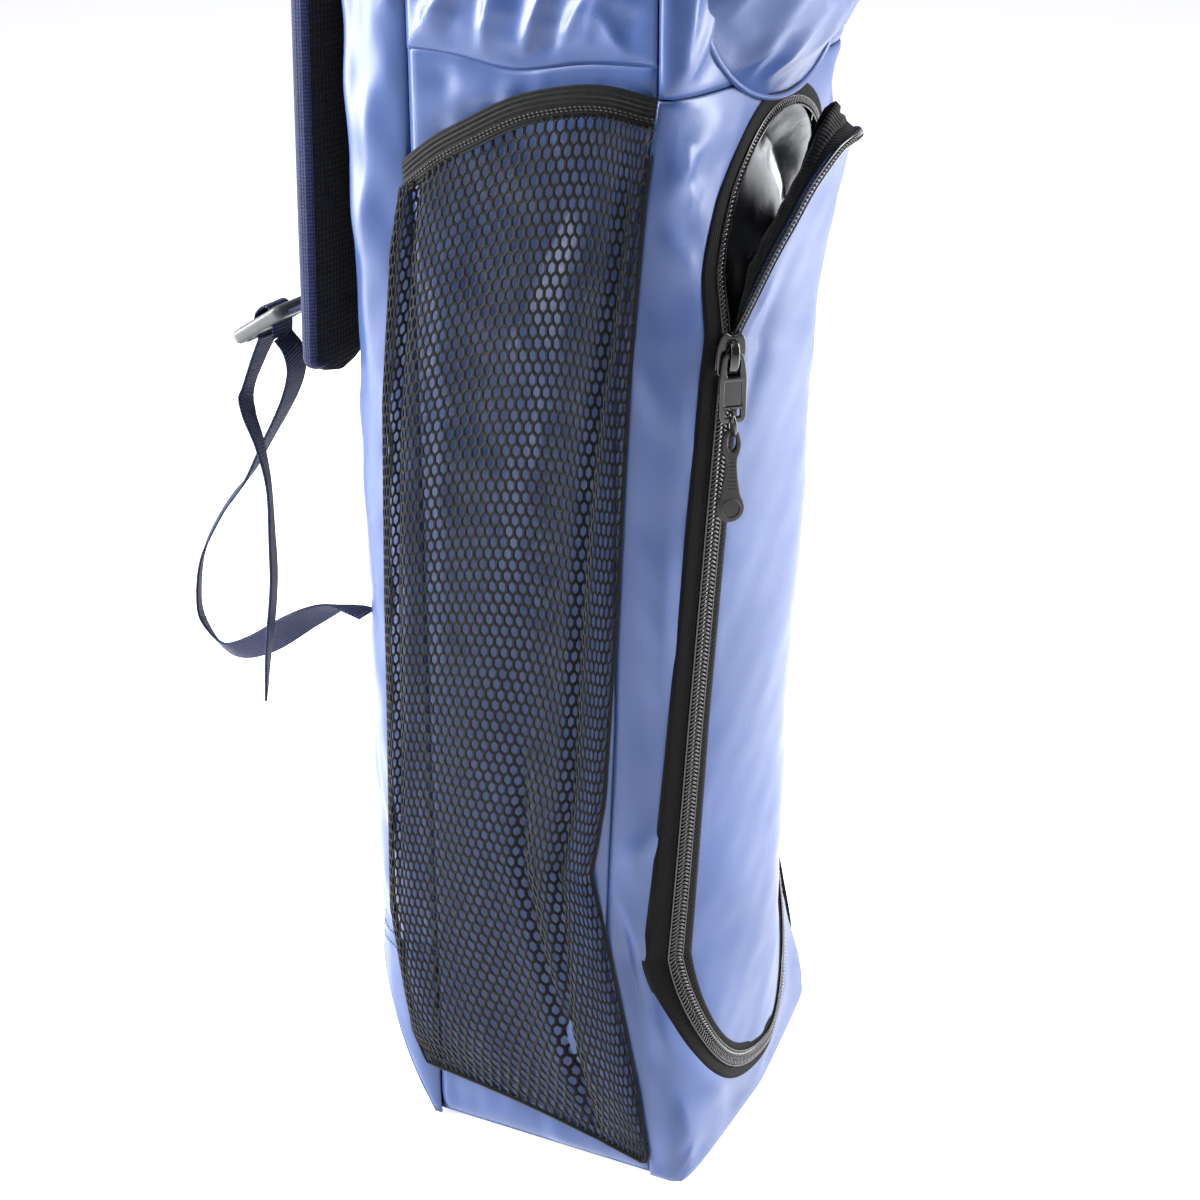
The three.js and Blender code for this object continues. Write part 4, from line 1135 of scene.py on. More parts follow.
def straight_chain(name, line, normal, body, replaces, tape_name, tape_replaces, width=7.0):
    """A zip along a given line: tape below, coil on top."""
    across = unit(np.cross(tangents(line), normal))
    tape = np.stack([line + across * o + normal * 0.2 for o in (-width, -width / 2, 0, width / 2, width)], 1)
    if tape_name:
        panel(tape_name, tape, 0.9, "zip_tape", body, tape_replaces,
              flip=float(np.sum(grid_normals(tape)[:, 2] * normal)) < 0)
    parts = [chain_beads(line, normal, 1.5, 2.5, 0.8, 1.7, 0.9), cord_tube(line, normal, 1.1, 0.6, 0.5)]
    piece(name, merge(parts), "zip_coil", body, replaces)


def upper_zip():
    x = between(-70, 70, 90)
    line = np.stack([x, np.full(90, -132.2), np.full(90, UPPER_TOP + 1.5)], -1)
    straight_chain("upper_zip_chain", line, np.tile([0.0, -0.35, 0.94], (90, 1)), "bag", (),
                   "upper_zip_tape", ["upper_zip_tape"], 4.2)


upper_zip()


# --------------------------------------------------------------------- lid and main zip


def rim_plan(inset, count):
    """The bag's plan at its rim, from the left side seam's rear end round the front to the right."""
    side, crest, square, _ = station(RIM_Z)
    angle = np.linspace(0, np.pi, 400)
    front = np.stack([-(HALF_WIDTH - inset) * np.sign(np.cos(angle)) * np.abs(np.cos(angle)) ** (2 / square),
                      side + (crest + inset - side) * np.abs(np.sin(angle)) ** (2 / square)], -1)
    corner = np.linspace(0, np.pi / 2, 40)
    radius = REAR_RADIUS - inset
    centre = (HALF_WIDTH - REAR_RADIUS, BACK_Y - REAR_RADIUS)
    right = np.stack([centre[0] + radius * np.cos(corner), centre[1] + radius * np.sin(corner)], -1)
    left = (right * [-1, 1])[::-1]
    loop = np.concatenate([front, right, left, front[:1]])
    run = running(loop)
    at = np.linspace(0, run[-1], count, endpoint=False)
    return at_lengths(loop, run, at)


def lid_height(y):
    return np.interp(y, [-130, -102, -74, -10, 70, 112, 130], [896, 912, 927, 935.5, 932, 919, 902])


def top_lid():
    count, steps = 220, 30
    rim = rim_plan(0.6, count)
    grid = np.zeros((count, steps, 3))
    for j, share in enumerate(np.linspace(0, 1, steps)):
        shrink = 1 - share**1.6 * 0.985
        xy = rim * shrink + np.array([0, 4]) * (1 - shrink)
        dome = 1 - (1 - share) ** 3.2
        z = 889.4 + (lid_height(xy[:, 1]) - 4 * (np.abs(xy[:, 0]) / 118) ** 4 - 889.4) * dome
        grid[:, j] = np.concatenate([xy, z[:, None]], 1)
    creases = both_sides([
        ((-100, -80, 905), (-40, -20, 934), 11, 2.6, 1.5), ((-110, 20, 905), (-50, 30, 934), 13, -2.4, 1.6),
        ((-100, 80, 905), (-50, 50, 930), 11, 2.4, 1.5), ((-70, -98, 905), (-30, -50, 930), 9, 2.0, 1.4)])
    fabric("top_lid", grid, "lid", ["top_lid"], 2.2, creases=creases, wave=(1.1, 60), seed=91, seam=0.8,
           wrap=True, inner="foam_lining")


top_lid()


def main_zip():
    loop = rim_plan(-0.4, 700)
    order = np.roll(np.arange(700), int(700 * 0.25))
    loop = loop[order]
    keep = loop[:, 1] < 60
    start = int(np.argmax(~keep & np.roll(keep, -1))) + 1
    loop = np.roll(loop, -start, axis=0)
    loop = loop[loop[:, 1] < 60]
    gaps = np.linalg.norm(np.diff(loop, axis=0), axis=1)
    cut = int(np.argmax(gaps)) + 1 if gaps.max() > 20 else 0
    loop = np.roll(loop, -cut, axis=0)
    line = np.concatenate([loop, np.full((len(loop), 1), RIM_Z + 0.3)], 1)
    out = unit(np.cross(tangents(line), [0, 0, 1.0]))
    if float(np.sum(out * (line * [1, 1, 0]))) < 0:
        out = -out
    for name, low, high, body, replaced in (
            ("main_zip_body_tape", -11, -2.4, "bag", "main_zip_body_tape"),
            ("main_zip_lid_tape", 3.0, 11, "lid", "main_zip_lid_tape")):
        grid = np.stack([line + out * 0.9 + np.array([0, 0, h]) for h in np.linspace(low, high, 4)], 1)
        panel(name, grid, 0.9, "zip_tape", body, [replaced], flip=turned_in(grid, False, None))
    parts = [chain_beads(line + out * 0.2, out, 1.6, 2.5, 0.85, 1.8, 1.2), cord_tube(line, out, 1.3, 0.7, 0.8)]
    piece("main_zip_chain", merge(parts), "zip_coil", "bag", ["main_zip_chain"])


main_zip()

# ------------------------------------------------------------------------- mesh pockets

MOUTH = [(58, 600), (34, 617), (12, 629), (-17, 643), (-45, 650), (-66, 651), (-88, 646)]
REAR_EDGE = np.array([(34, 62), (60, 74), (115, 82), (149, 87), (352, 82), (474, 77), (560, 68), (606, 58)], float)
FRONT_EDGE = np.array([(8, -90), (57, -84), (156, -63), (204, -51.5), (255, -60), (380, -68), (495, -73.5),
                       (599, -82), (650, -89)], float)
MOUTH_LINE = smooth_path(MOUTH, 60)


def net_point(s, h):
    """A point of the left pocket's netting: s runs from rear to front, h from foot to mouth."""
    squeeze = s - 0.5 * np.sin(2 * np.pi * s) / (2 * np.pi)
    mouth_y = MOUTH_LINE[::-1, 0]
    top_share = 1 - np.clip(squeeze, 0, 1)
    mouth = np.interp(-88 + 146 * top_share, mouth_y, MOUTH_LINE[::-1, 1]) - 4
    foot = 37 - 27 * np.clip(squeeze, 0, 1) + 3 * np.sin(np.pi * squeeze)
    z = foot + (mouth - foot) * h
    rear, front = np.interp(z, *REAR_EDGE.T), np.interp(z, *FRONT_EDGE.T)
    y = rear + (front - rear) * squeeze
    rise = (1 - np.abs(2 * s - 1) ** 7) ** 0.6
    bottom = smoothstep(h, -0.01, 0.09)
    bulge = 8.5 + 2.5 * np.sin(np.pi * h) + 3.5 * smoothstep(h, 0.86, 1.0)
    # Upright pleats: a deep one behind the front seam, one by the rear, and a slanting one low down.
    pleat = 4.5 * np.exp(-((s - 0.16) / 0.028) ** 2) * smoothstep(h, 0.12, 0.4)
    front_at_s = 0.80 + 0.10 * smoothstep(h, 0.55, 1.0) - 0.10 * smoothstep(h, 0.35, 0.1)
    pleat = pleat + 6.0 * np.exp(-((s - front_at_s) / 0.03) ** 2) * smoothstep(h, 1.0, 0.9)
    slant = 0.62 + 0.22 * (0.36 - h)
    pleat = pleat + 5.0 * np.exp(-((s - slant) / 0.026) ** 2) * smoothstep(h, 0.46, 0.3)
    swell = 1.6 * np.sin(9 * s + 3.2 * h) * np.sin(7.5 * h + 1) + 1.0 * np.sin(21 * s - 5 * h)
    x = -(118.5 + rise * bottom * np.maximum(bulge - pleat + swell, 1.2))
    wall = np.sqrt(np.maximum(REAR_RADIUS**2 - np.maximum(y - (BACK_Y - REAR_RADIUS), 0) ** 2, 0))
    curve = (HALF_WIDTH - REAR_RADIUS + wall) - HALF_WIDTH
    return np.stack([x - curve * (1 - rise), y, z], -1)


NET_COLUMNS, NET_ROWS = 36, 92


def net_arrays():
    """Elongated hexagons with a hole in each, laid on the netting's surface."""
    index, points, faces = {}, [], []

    def vertex(i, j):
        key = (round(i * 12), round(j * 12))
        if key not in index:
            index[key] = len(points)
            points.append((i / NET_COLUMNS, j / NET_ROWS))
        return index[key]

    corners = [(0, -0.72), (0.5, -0.28), (0.5, 0.28), (0, 0.72), (-0.5, 0.28), (-0.5, -0.28)]
    hole = [(0, -0.52), (0.32, -0.24), (0.32, 0.24), (0, 0.52), (-0.32, 0.24), (-0.32, -0.24)]
    for row in range(NET_ROWS + 1):
        for column in range(NET_COLUMNS + 1):
            ci, cj = column + (0.5 if row % 2 else 0), row
            if not (0.5 <= ci <= NET_COLUMNS - 0.5 and 1 <= cj <= NET_ROWS - 1):
                continue
            ring = [vertex(ci + a, cj + b) for a, b in corners]
            inner = []
            for a, b in hole:
                inner.append(len(points))
                points.append(((ci + a) / NET_COLUMNS, (cj + b) / NET_ROWS))
            for k in range(6):
                n = (k + 1) % 6
                faces.append([ring[k], ring[n], inner[n], inner[k]])
    return np.array(points), faces


NET_SHARES, NET_FACES = net_arrays()


def net_surface_normals(shares):
    e = 0.004
    s, h = np.clip(shares[:, 0], 0.005, 0.995), np.clip(shares[:, 1], 0.005, 0.995)
    ds = net_point(s + e, h) - net_point(s - e, h)
    dh = net_point(s, h + e) - net_point(s, h - e)
    return unit(np.cross(dh, ds))


def mesh_pocket(word, side):
    s, h = np.clip(NET_SHARES[:, 0], 0, 1), np.clip(NET_SHARES[:, 1], 0, 1)
    sway = 0.0045 * np.sin(h * 23 + s * 5) + 0.003 * np.sin(h * 51)
    s = np.clip(s + sway * np.sin(np.pi * s), 0, 1)
    place, normal = net_point(s, h), net_surface_normals(np.stack([s, h], -1))
    if float(np.mean(normal[:, 0])) > 0:
        normal = -normal
    count = len(place)
    thick = 0.75
    verts = np.concatenate([place + normal * thick / 2, place - normal * thick / 2])
    edges = {}
    for f in NET_FACES:
        for k in range(4):
            a, b = f[k], f[(k + 1) % 4]
            edges[(a, b)] = edges.get((a, b), 0) + 1
    rims = [(a, b) for (a, b) in edges if (b, a) not in edges]
    faces = [list(f) for f in NET_FACES] + [[v + count for v in f[::-1]] for f in NET_FACES]
    faces += [[b, a, a + count, b + count] for a, b in rims]
    a, b, c = (verts[NET_FACES[500][k]] for k in range(3))
    if float(np.cross(b - a, c - b)[0]) > 0:
        faces = [f[::-1] for f in faces]
    uv = np.stack([s * 190, h * 610], -1)
    verts, faces = on_side(verts, faces, side)
    made = make(f"mesh_pocket_{word}", verts, faces, "pocket_mesh", "bag", [f"mesh_pocket_{word}"],
                np.concatenate([uv, uv]))


both(mesh_pocket)


def mouth_path(count):
    yz = smooth_path(MOUTH, count)
    t = np.linspace(0, 1, count)
    x = -(119.6 + 12.4 * np.sin(np.pi * t) ** 0.62)
    return np.stack([x, yz[:, 0], yz[:, 1]], -1)


def pocket_edges(word, side):
    line = mouth_path(150)
    t = tangents(line)
    height = unit(np.array([0, 0, 1.0]) - t[:, 2:] * t)
    ribs = np.linspace(-8, 8, 41)
    face = 1.0 + 0.32 * np.cos(ribs * 2 * np.pi / 2.7) * (np.abs(ribs) < 7.4)
    face[0] = face[-1] = 0.5
    section = np.concatenate([np.stack([ribs, face], -1), np.stack([ribs[::-1], -face[::-1]], -1)])
    verts, faces, uvs = tube_arrays(line, section, height)
    stitch_line = line - height * 4.2
    out = np.cross(t, height)
    if out[75, 0] > 0:
        out = -out
    threads = [stitching(stitch_line + height * rise, out, 2.6, 0.42, 1.35) for rise in (0, 1.5)]
    thread_verts, thread_faces, thread_uvs = merge(threads)
    verts, faces = on_side(verts, faces, side)
    thread_verts, thread_faces = on_side(thread_verts, thread_faces, side)
    make(f"mesh_binding_{word}", verts, faces, "binding", "bag", [f"mesh_binding_{word}"], uvs)
    make(f"mouth_stitching_{word}", thread_verts, thread_faces, "dark_thread", "bag", uvs=thread_uvs)
    # The netting's sewn edges, down the rear, along the foot and up the front.
    h = np.linspace(0.985, 0.004, 160)
    s = np.linspace(0.0, 1.0, 60)
    down, along = net_point(np.zeros(160), h), net_point(s, np.full(60, 0.004))
    upward = net_point(np.ones(160), h[::-1])
    path = np.concatenate([down, along[1:], upward[1:]])
    path = smooth_path(path[::3], 420)
    path[:, 0] -= 0.4
    verts, faces, uvs = tube_arrays(path, round_section(1.5, 8, 0.8), np.tile([1.0, 0.2, 0.1], (420, 1)))
    verts, faces = on_side(verts, faces, side)
    make(f"pocket_hem_{word}", verts, faces, "binding", "bag", uvs=uvs)


both(pocket_edges)

# -------------------------------------------------------------------- back and harness


def back():
    grid = np.zeros((60, 120, 3))
    reach = HALF_WIDTH - REAR_RADIUS - 0.4
    for j, z in enumerate(between(HEEL_Z + 1.5, RIM_Z, 120)):
        grid[:, j] = np.stack([between(-reach, reach, 60), np.full(60, BACK_Y - 0.2), np.full(60, z)], -1)
    channels = [((x, BACK_Y, 130), (x, BACK_Y, 850), 3.5, -1.6, 1.6) for x in (-52, 52)]
    fabric("back_panel", grid, "bag", ["back_panel"], 2.6, "foam_lining", channels, (0.7, 60), 101, 1.4,
           away=(0, 1, 0))


back()


def pillow(name, half, low, high, front, deep, replaced):
    """A stitched foam pad, blown up with a short cloth simulation."""
    columns, rows = 40, 120
    a, b = np.meshgrid(np.linspace(-1, 1, columns), np.linspace(-1, 1, rows), indexing="ij")
    middle, tall = (low + high) / 2, (high - low) / 2
    corner = 1 - 0.10 * (np.abs(a) * np.abs(b)) ** 6
    x, z = a * half * corner, middle + b * tall * corner
    crown = np.maximum((1 - np.abs(a) ** 6) * (1 - np.abs(b) ** 12), 0) ** 0.5
    outer = np.stack([x, front + 1.2 + (deep - 2.6) * crown, z], -1)
    verts, faces, _, _ = sheet_arrays(outer, 0, False, turned_in(outer, False, (0, 1, 0)))
    half_count = len(verts) // 2
    verts[half_count:, 1] = front + 0.4
    made = make(name, verts, faces, "foam_lining", None, (), None)
    bpy.context.view_layer.objects.active = made
    made.select_set(True)
    remesh = made.modifiers.new("remesh", "REMESH")
    remesh.mode, remesh.voxel_size = "VOXEL", 0.005
    bpy.ops.object.modifier_apply(modifier="remesh")
    rest = np.array([v.co for v in made.data.vertices])
    cloth_sim = made.modifiers.new("cloth", "CLOTH")
    cloth_sim.settings.use_pressure = True
    cloth_sim.settings.uniform_pressure_force = 4
    cloth_sim.settings.effector_weights.gravity = 0
    scene = bpy.context.scene
    for step in range(1, 15):
        scene.frame_set(step)
    bpy.ops.object.modifier_apply(modifier="cloth")
    scene.frame_set(1)
    moved = np.array([v.co for v in made.data.vertices])
    shift = moved - rest
    far = np.linalg.norm(shift, axis=1, keepdims=True)
    shift *= np.minimum(1, 0.0035 / np.maximum(far, 1e-9))
    moved = rest + shift
    moved[:, 1] = np.maximum(moved[:, 1], (front + 0.4) * MM)
    # Quilting lines press back in after the pad has swollen.
    channel = np.exp(-(((moved[:, 2] / MM - low) % 62 - 31) / 3.2) ** 2)
    inside = smoothstep(half - np.abs(moved[:, 0] / MM), 4, 14)
    depth = moved[:, 1] - (front + 1.5) * MM
    moved[:, 1] -= np.maximum(depth, 0) * 0.5 * channel * inside
    made.data.vertices.foreach_set("co", moved.astype(np.float32).ravel())
    made.data.update()
    divide = made.modifiers.new("smooth", "SUBSURF")
    divide.levels = divide.render_levels = 1
    bpy.ops.object.modifier_apply(modifier="smooth")
    made.data.shade_smooth()
    made.select_set(False)
    layer = made.data.uv_layers.get("cloth") or made.data.uv_layers.new(name="cloth")
    co = np.zeros(len(made.data.vertices) * 3, np.float32)
    made.data.vertices.foreach_get("co", co)
    loops = np.zeros(len(made.data.loops), np.int32)
    made.data.loops.foreach_get("vertex_index", loops)
    layer.data.foreach_set("uv", co.reshape(-1, 3)[loops][:, [0, 2]].ravel())
    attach(made, "bag")
    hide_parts(replaced)
    edge_a = np.linspace(0, 2 * np.pi, 160, endpoint=False)
    sx = np.sign(np.cos(edge_a)) * np.abs(np.cos(edge_a)) ** 0.22 * (half - 0.5)
    sz = middle + np.sign(np.sin(edge_a)) * np.abs(np.sin(edge_a)) ** 0.12 * (tall - 0.5)
    line = np.stack([sx, np.full(160, front + 1.6), sz], -1)
    piece(name + "_piping", tube_arrays(line, round_section(1.5, 8), np.tile([0.0, 1, 0], (160, 1)), closed=True),
          "strap_fabric", "bag")


pillow("back_pad_lower", 39, 141, 449, BACK_Y + 0.4, 9.4, "back_pad_lower")
pillow("back_pad_upper", 39, 471, 799, BACK_Y + 0.4, 9.4, "back_pad_upper")

STRAP_ROUTE = [(121, 862, 7), (123.5, 800, 10), (127, 690, 11), (130.5, 560, 11), (133, 474, 9)]
STRAP_X, STRAP_WIDTH = 78, 64


def shoulder_strap(word, side):
    route = smooth_path(STRAP_ROUTE, 140)
    z = route[:, 1]
    line = np.stack([np.full(140, side * STRAP_X), route[:, 0], z], -1)
    drop = np.clip((494 - z) / 20, 0, 0.992)
    width = STRAP_WIDTH / 2 * np.sqrt(1 - drop**2)
    thick = route[:, 2] / 2 * (0.55 + 0.45 * np.sqrt(1 - drop**2))
    a = np.linspace(0, 2 * np.pi, 36, endpoint=False)
    cx = np.sign(np.cos(a)) * np.abs(np.cos(a)) ** 0.55
    sy = np.sign(np.sin(a)) * np.abs(np.sin(a)) ** 0.95
    dent = 1 - 0.12 * np.exp(-((np.abs(cx) - 0.66) / 0.09) ** 2)
    section = np.stack([width[:, None] * cx, thick[:, None] * sy * dent], -1)
    verts, faces, uvs = tube_arrays(line, section, np.tile([1.0, 0, 0], (140, 1)))
    flags = []
    for f in faces:
        middle = verts[list(f)].mean(0)
        at = np.interp(-middle[2], -z, route[:, 0])
        flags.append(1 if middle[1] < at - 0.6 else 0)
    verts = verts + 0.35 * (ripple(verts, 26, 111 + side))[:, None] * np.array([0.2, 1, 0])
    made = make(f"shoulder_strap_{word}", verts, faces, "strap_fabric", f"strap_{word}", [f"shoulder_strap_{word}"],
                uvs, inner=("foam_lining", flags))
    # Ribbed binding round both edges and the rounded end.
    reach = width - 2.6
    left = np.stack([line[:, 0] - reach, line[:, 1], line[:, 2]], -1)
    right = np.stack([line[:, 0] + reach, line[:, 1], line[:, 2]], -1)
    path = smooth_path(np.concatenate([left[::4], right[::-1][::4][1:]]), 420)
    ribs = np.linspace(0, 2 * np.pi, 28, endpoint=False)
    swell = 1 + 0.045 * np.cos(ribs * 7)
    edge = np.stack([2.8 * np.cos(ribs) * swell, 5.6 * np.sin(ribs) * swell], -1)
    scale = np.interp(-path[:, 2], -z, thick / 6.0)[:, None, None]
    across = np.tile([0.0, 1.0, 0.05], (420, 1))
    section = np.stack([edge[None, :, 1] * scale[:, :, 0], np.repeat(edge[None, :, 0], 420, 0)], -1)
    piece(f"strap_binding_{word}", tube_arrays(path, section, across), "webbing", f"strap_{word}")
    rows = []
    for inset in (9, 11.5):
        for flip in (-1, 1):
            keep = z > 500
            row = np.stack([line[keep, 0] + flip * (reach[keep] - inset),
                            line[keep, 1] + thick[keep] * 0.93, z[keep]], -1)
            rows.append(stitching(row, np.tile([0.0, 1, 0], (int(keep.sum()), 1)), lift=0.25))
    piece(f"strap_stitching_{word}", merge(rows), "dark_thread", f"strap_{word}")


both(shoulder_strap)


def sewn_band(name, line, across, width, thick, material, body, replaced):
    piece(name, tube_arrays(line, strap_section(width, thick, 0.15), across), material, body, replaced)


def harness(word, side):
    x = side * STRAP_X
    tab = smooth_path([(138.6, 527), (140.2, 519), (144.5, 513), (151.5, 509.3), (159.2, 506.8)], 26)
    line = np.stack([np.full(26, x), tab[:, 0], tab[:, 1]], -1)
    sewn_band(f"strap_tab_{word}", line, np.tile([1.0, 0, 0], (26, 1)), 22, 1.9, "webbing", f"strap_{word}",
              [f"strap_tab_{word}"])
    cross = [stitching(np.array([(x - reach, 140.3, 524), (x + reach, 141.9, 517)]), np.array([(0, 1, 0.1)] * 2),
                       2.4, 0.4, 0.1) for reach in (8, -8)]
    piece(f"tab_stitching_{word}", merge(cross), "thread", f"strap_{word}")
    # The triangular patch that the webbing is sewn into.
    grid = np.zeros((26, 24, 3))
    for i, share in enumerate(between(0, 1, 26)):
        px = side * (54 + 26 * share)
        low, high = 292 + 20 * share, 352 - 20 * share
        grid[i] = np.stack([np.full(24, px), np.full(24, BACK_Y + 2.9 + 0.5 * math.sin(math.pi * share)),
                            between(low, high, 24)], -1)
    fabric(f"lower_anchor_{word}", grid, "bag", [f"lower_anchor_{word}"], 2.2, "webbing", (), (0.25, 14), 121, 0.5, 5,
           away=(0, 1, 0))
    border = np.array([(side * px, 117.6, pz) for px, pz in ((57, 346), (57, 298), (77, 314), (77, 330), (57, 346))])
    piece(f"anchor_stitching_{word}", stitching(border, np.tile([0.0, 1, 0], (5, 1)), 2.8, 0.42, 0.3),
          "dark_thread", "bag")


both(harness)


def yoke_and_handle():
    grid = np.zeros((90, 20, 3))
    for j, z in enumerate(between(848.6, 883.6, 20)):
        reach = 108 - 4 * (z - 848) / 36
        x = between(-reach, reach, 90)
        grid[:, j] = np.stack([x, np.full(90, BACK_Y + 2.4), np.full(90, z)], -1)
    fabric("strap_yoke", grid, "bag", ["strap_yoke"], 1.8, "strap_fabric", (), (0.35, 30), 131, 0.8, 6,
           away=(0, 1, 0))
    rows = [stitching(np.array([(-104, 117.2, z), (104, 117.2, z)]), np.array([(0, 1.0, 0)] * 2), 3.0, 0.42, 0.1)
            for z in (852, 855.5, 877, 880.5)]
    piece("yoke_stitching", merge(rows), "dark_thread", "bag")
    route = [(-32, 120.8, 878.6), (-32, 121.2, 866), (-28, 122.2, 853), (-14, 123, 843.5), (0, 123.3, 840.2),
             (14, 123, 843.5), (28, 122.2, 853), (32, 121.2, 866), (32, 120.8, 878.6)]
    line = smooth_path(route, 110)
    across = np.cross(tangents(line), [0, 1.0, 0])
    t = np.linspace(0, 1, 110)
    roll = np.exp(-((t - 0.5) / 0.2) ** 4)
    flat = strap_section(12, 2.4, 0.2)
    order = np.argsort(np.arctan2(flat[:, 1], flat[:, 0]))
    flat = flat[order]
    angles = np.arctan2(flat[:, 1] * 3, flat[:, 0])
    rolled = np.stack([5.2 * np.cos(angles), 2.6 * np.sin(angles)], -1)
    section = flat[None] * (1 - roll[:, None, None]) + rolled[None] * roll[:, None, None]
    piece("haul_handle", tube_arrays(line, section, across), "webbing", "haul_handle", ["haul_handle"])


yoke_and_handle()

# --------------------------------------------------------------------- sliders and pulls


def plate(outline, thick, bevel, holes=(), resolution=3):
    """A flat outline in (x, z) with holes, extruded along y with rounded edges. Millimetres."""
    curve = bpy.data.curves.new("plate", "CURVE")
    curve.dimensions, curve.fill_mode = "2D", "BOTH"
    curve.extrude = max(thick / 2 - bevel, 0.01)
    curve.bevel_depth, curve.bevel_resolution, curve.offset = bevel, resolution, -bevel
    for loop in (outline, *holes):
        spline = curve.splines.new("POLY")
        spline.points.add(len(loop) - 1)
        for point, (x, z) in zip(spline.points, loop):
            point.co = (x, z, 0, 1)
        spline.use_cyclic_u = True
    carrier = bpy.data.objects.new("plate", curve)
    bpy.context.scene.collection.objects.link(carrier)
    bpy.context.view_layer.update()
    mesh = bpy.data.meshes.new_from_object(carrier.evaluated_get(bpy.context.evaluated_depsgraph_get()))
    co = np.array([v.co for v in mesh.vertices])
    weld = {}
    remap = np.array([weld.setdefault(tuple(np.round(c, 4)), len(weld)) for c in co])
    points = np.array(list(weld), float)
    faces = []
    for polygon in mesh.polygons:
        f = list(dict.fromkeys(int(remap[v]) for v in polygon.vertices))
        if len(f) > 2:
            faces.append(f)
    bpy.data.objects.remove(carrier)
    bpy.data.meshes.remove(mesh)
    bpy.data.curves.remove(curve)
    verts = np.stack([points[:, 0], points[:, 2], points[:, 1]], -1)
    return verts, [f[::-1] for f in faces], verts[:, [0, 2]]


def ellipse(cx, cz, rx, rz, count=28, start=0.0, end=2 * np.pi, close=False):
    a = np.linspace(start, end, count, endpoint=close)
    return [(cx + rx * math.cos(t), cz + rz * math.sin(t)) for t in a]


def rounded(points, radius, steps=5):
    """An outline with its corners rounded."""
    out, n = [], len(points)
    for k in range(n):
        a, b, c = (np.array(points[(k + d) % n], float) for d in (-1, 0, 1))
        r = min(radius, np.linalg.norm(b - a) * 0.45, np.linalg.norm(c - b) * 0.45)
        start, end = b + (a - b) / np.linalg.norm(a - b) * r, b + (c - b) / np.linalg.norm(c - b) * r
        for t in np.linspace(0, 1, steps):
            out.append(tuple((1 - t) ** 2 * start + 2 * t * (1 - t) * b + t**2 * end))
    return out


def placed(parts, basis, origin):
    verts, faces, uvs = merge(parts)
    return verts @ np.array(basis, float) + np.array(origin, float), faces, uvs


def shifted(part, move):
    return part[0] + np.array(move, float), part[1], part[2]


SLIDER_BASIS = [(0.6599, -0.7485, -0.0649), (0.7503, 0.6611, 0.0047), (0.0394, -0.0518, 0.9979)]
SLIDER_AT = (-86.71, -116.31, 518.99)
PULL_TURN = math.radians(-48.6)
PULL_BASIS = [(math.cos(PULL_TURN), math.sin(PULL_TURN), 0), (-math.sin(PULL_TURN), math.cos(PULL_TURN), 0), (0, 0, 1)]
PULL_AT = (-93.76, -122.52, 518.95)


def arch(route, width, thick, count=40):
    """A bent flat bar in the slider's own (y, z) plane."""
    path = smooth_path([(0, y, z) for y, z in route], count)
    return tube_arrays(path, strap_section(width, thick, 0.1), np.tile([1.0, 0, 0], (count, 1)))


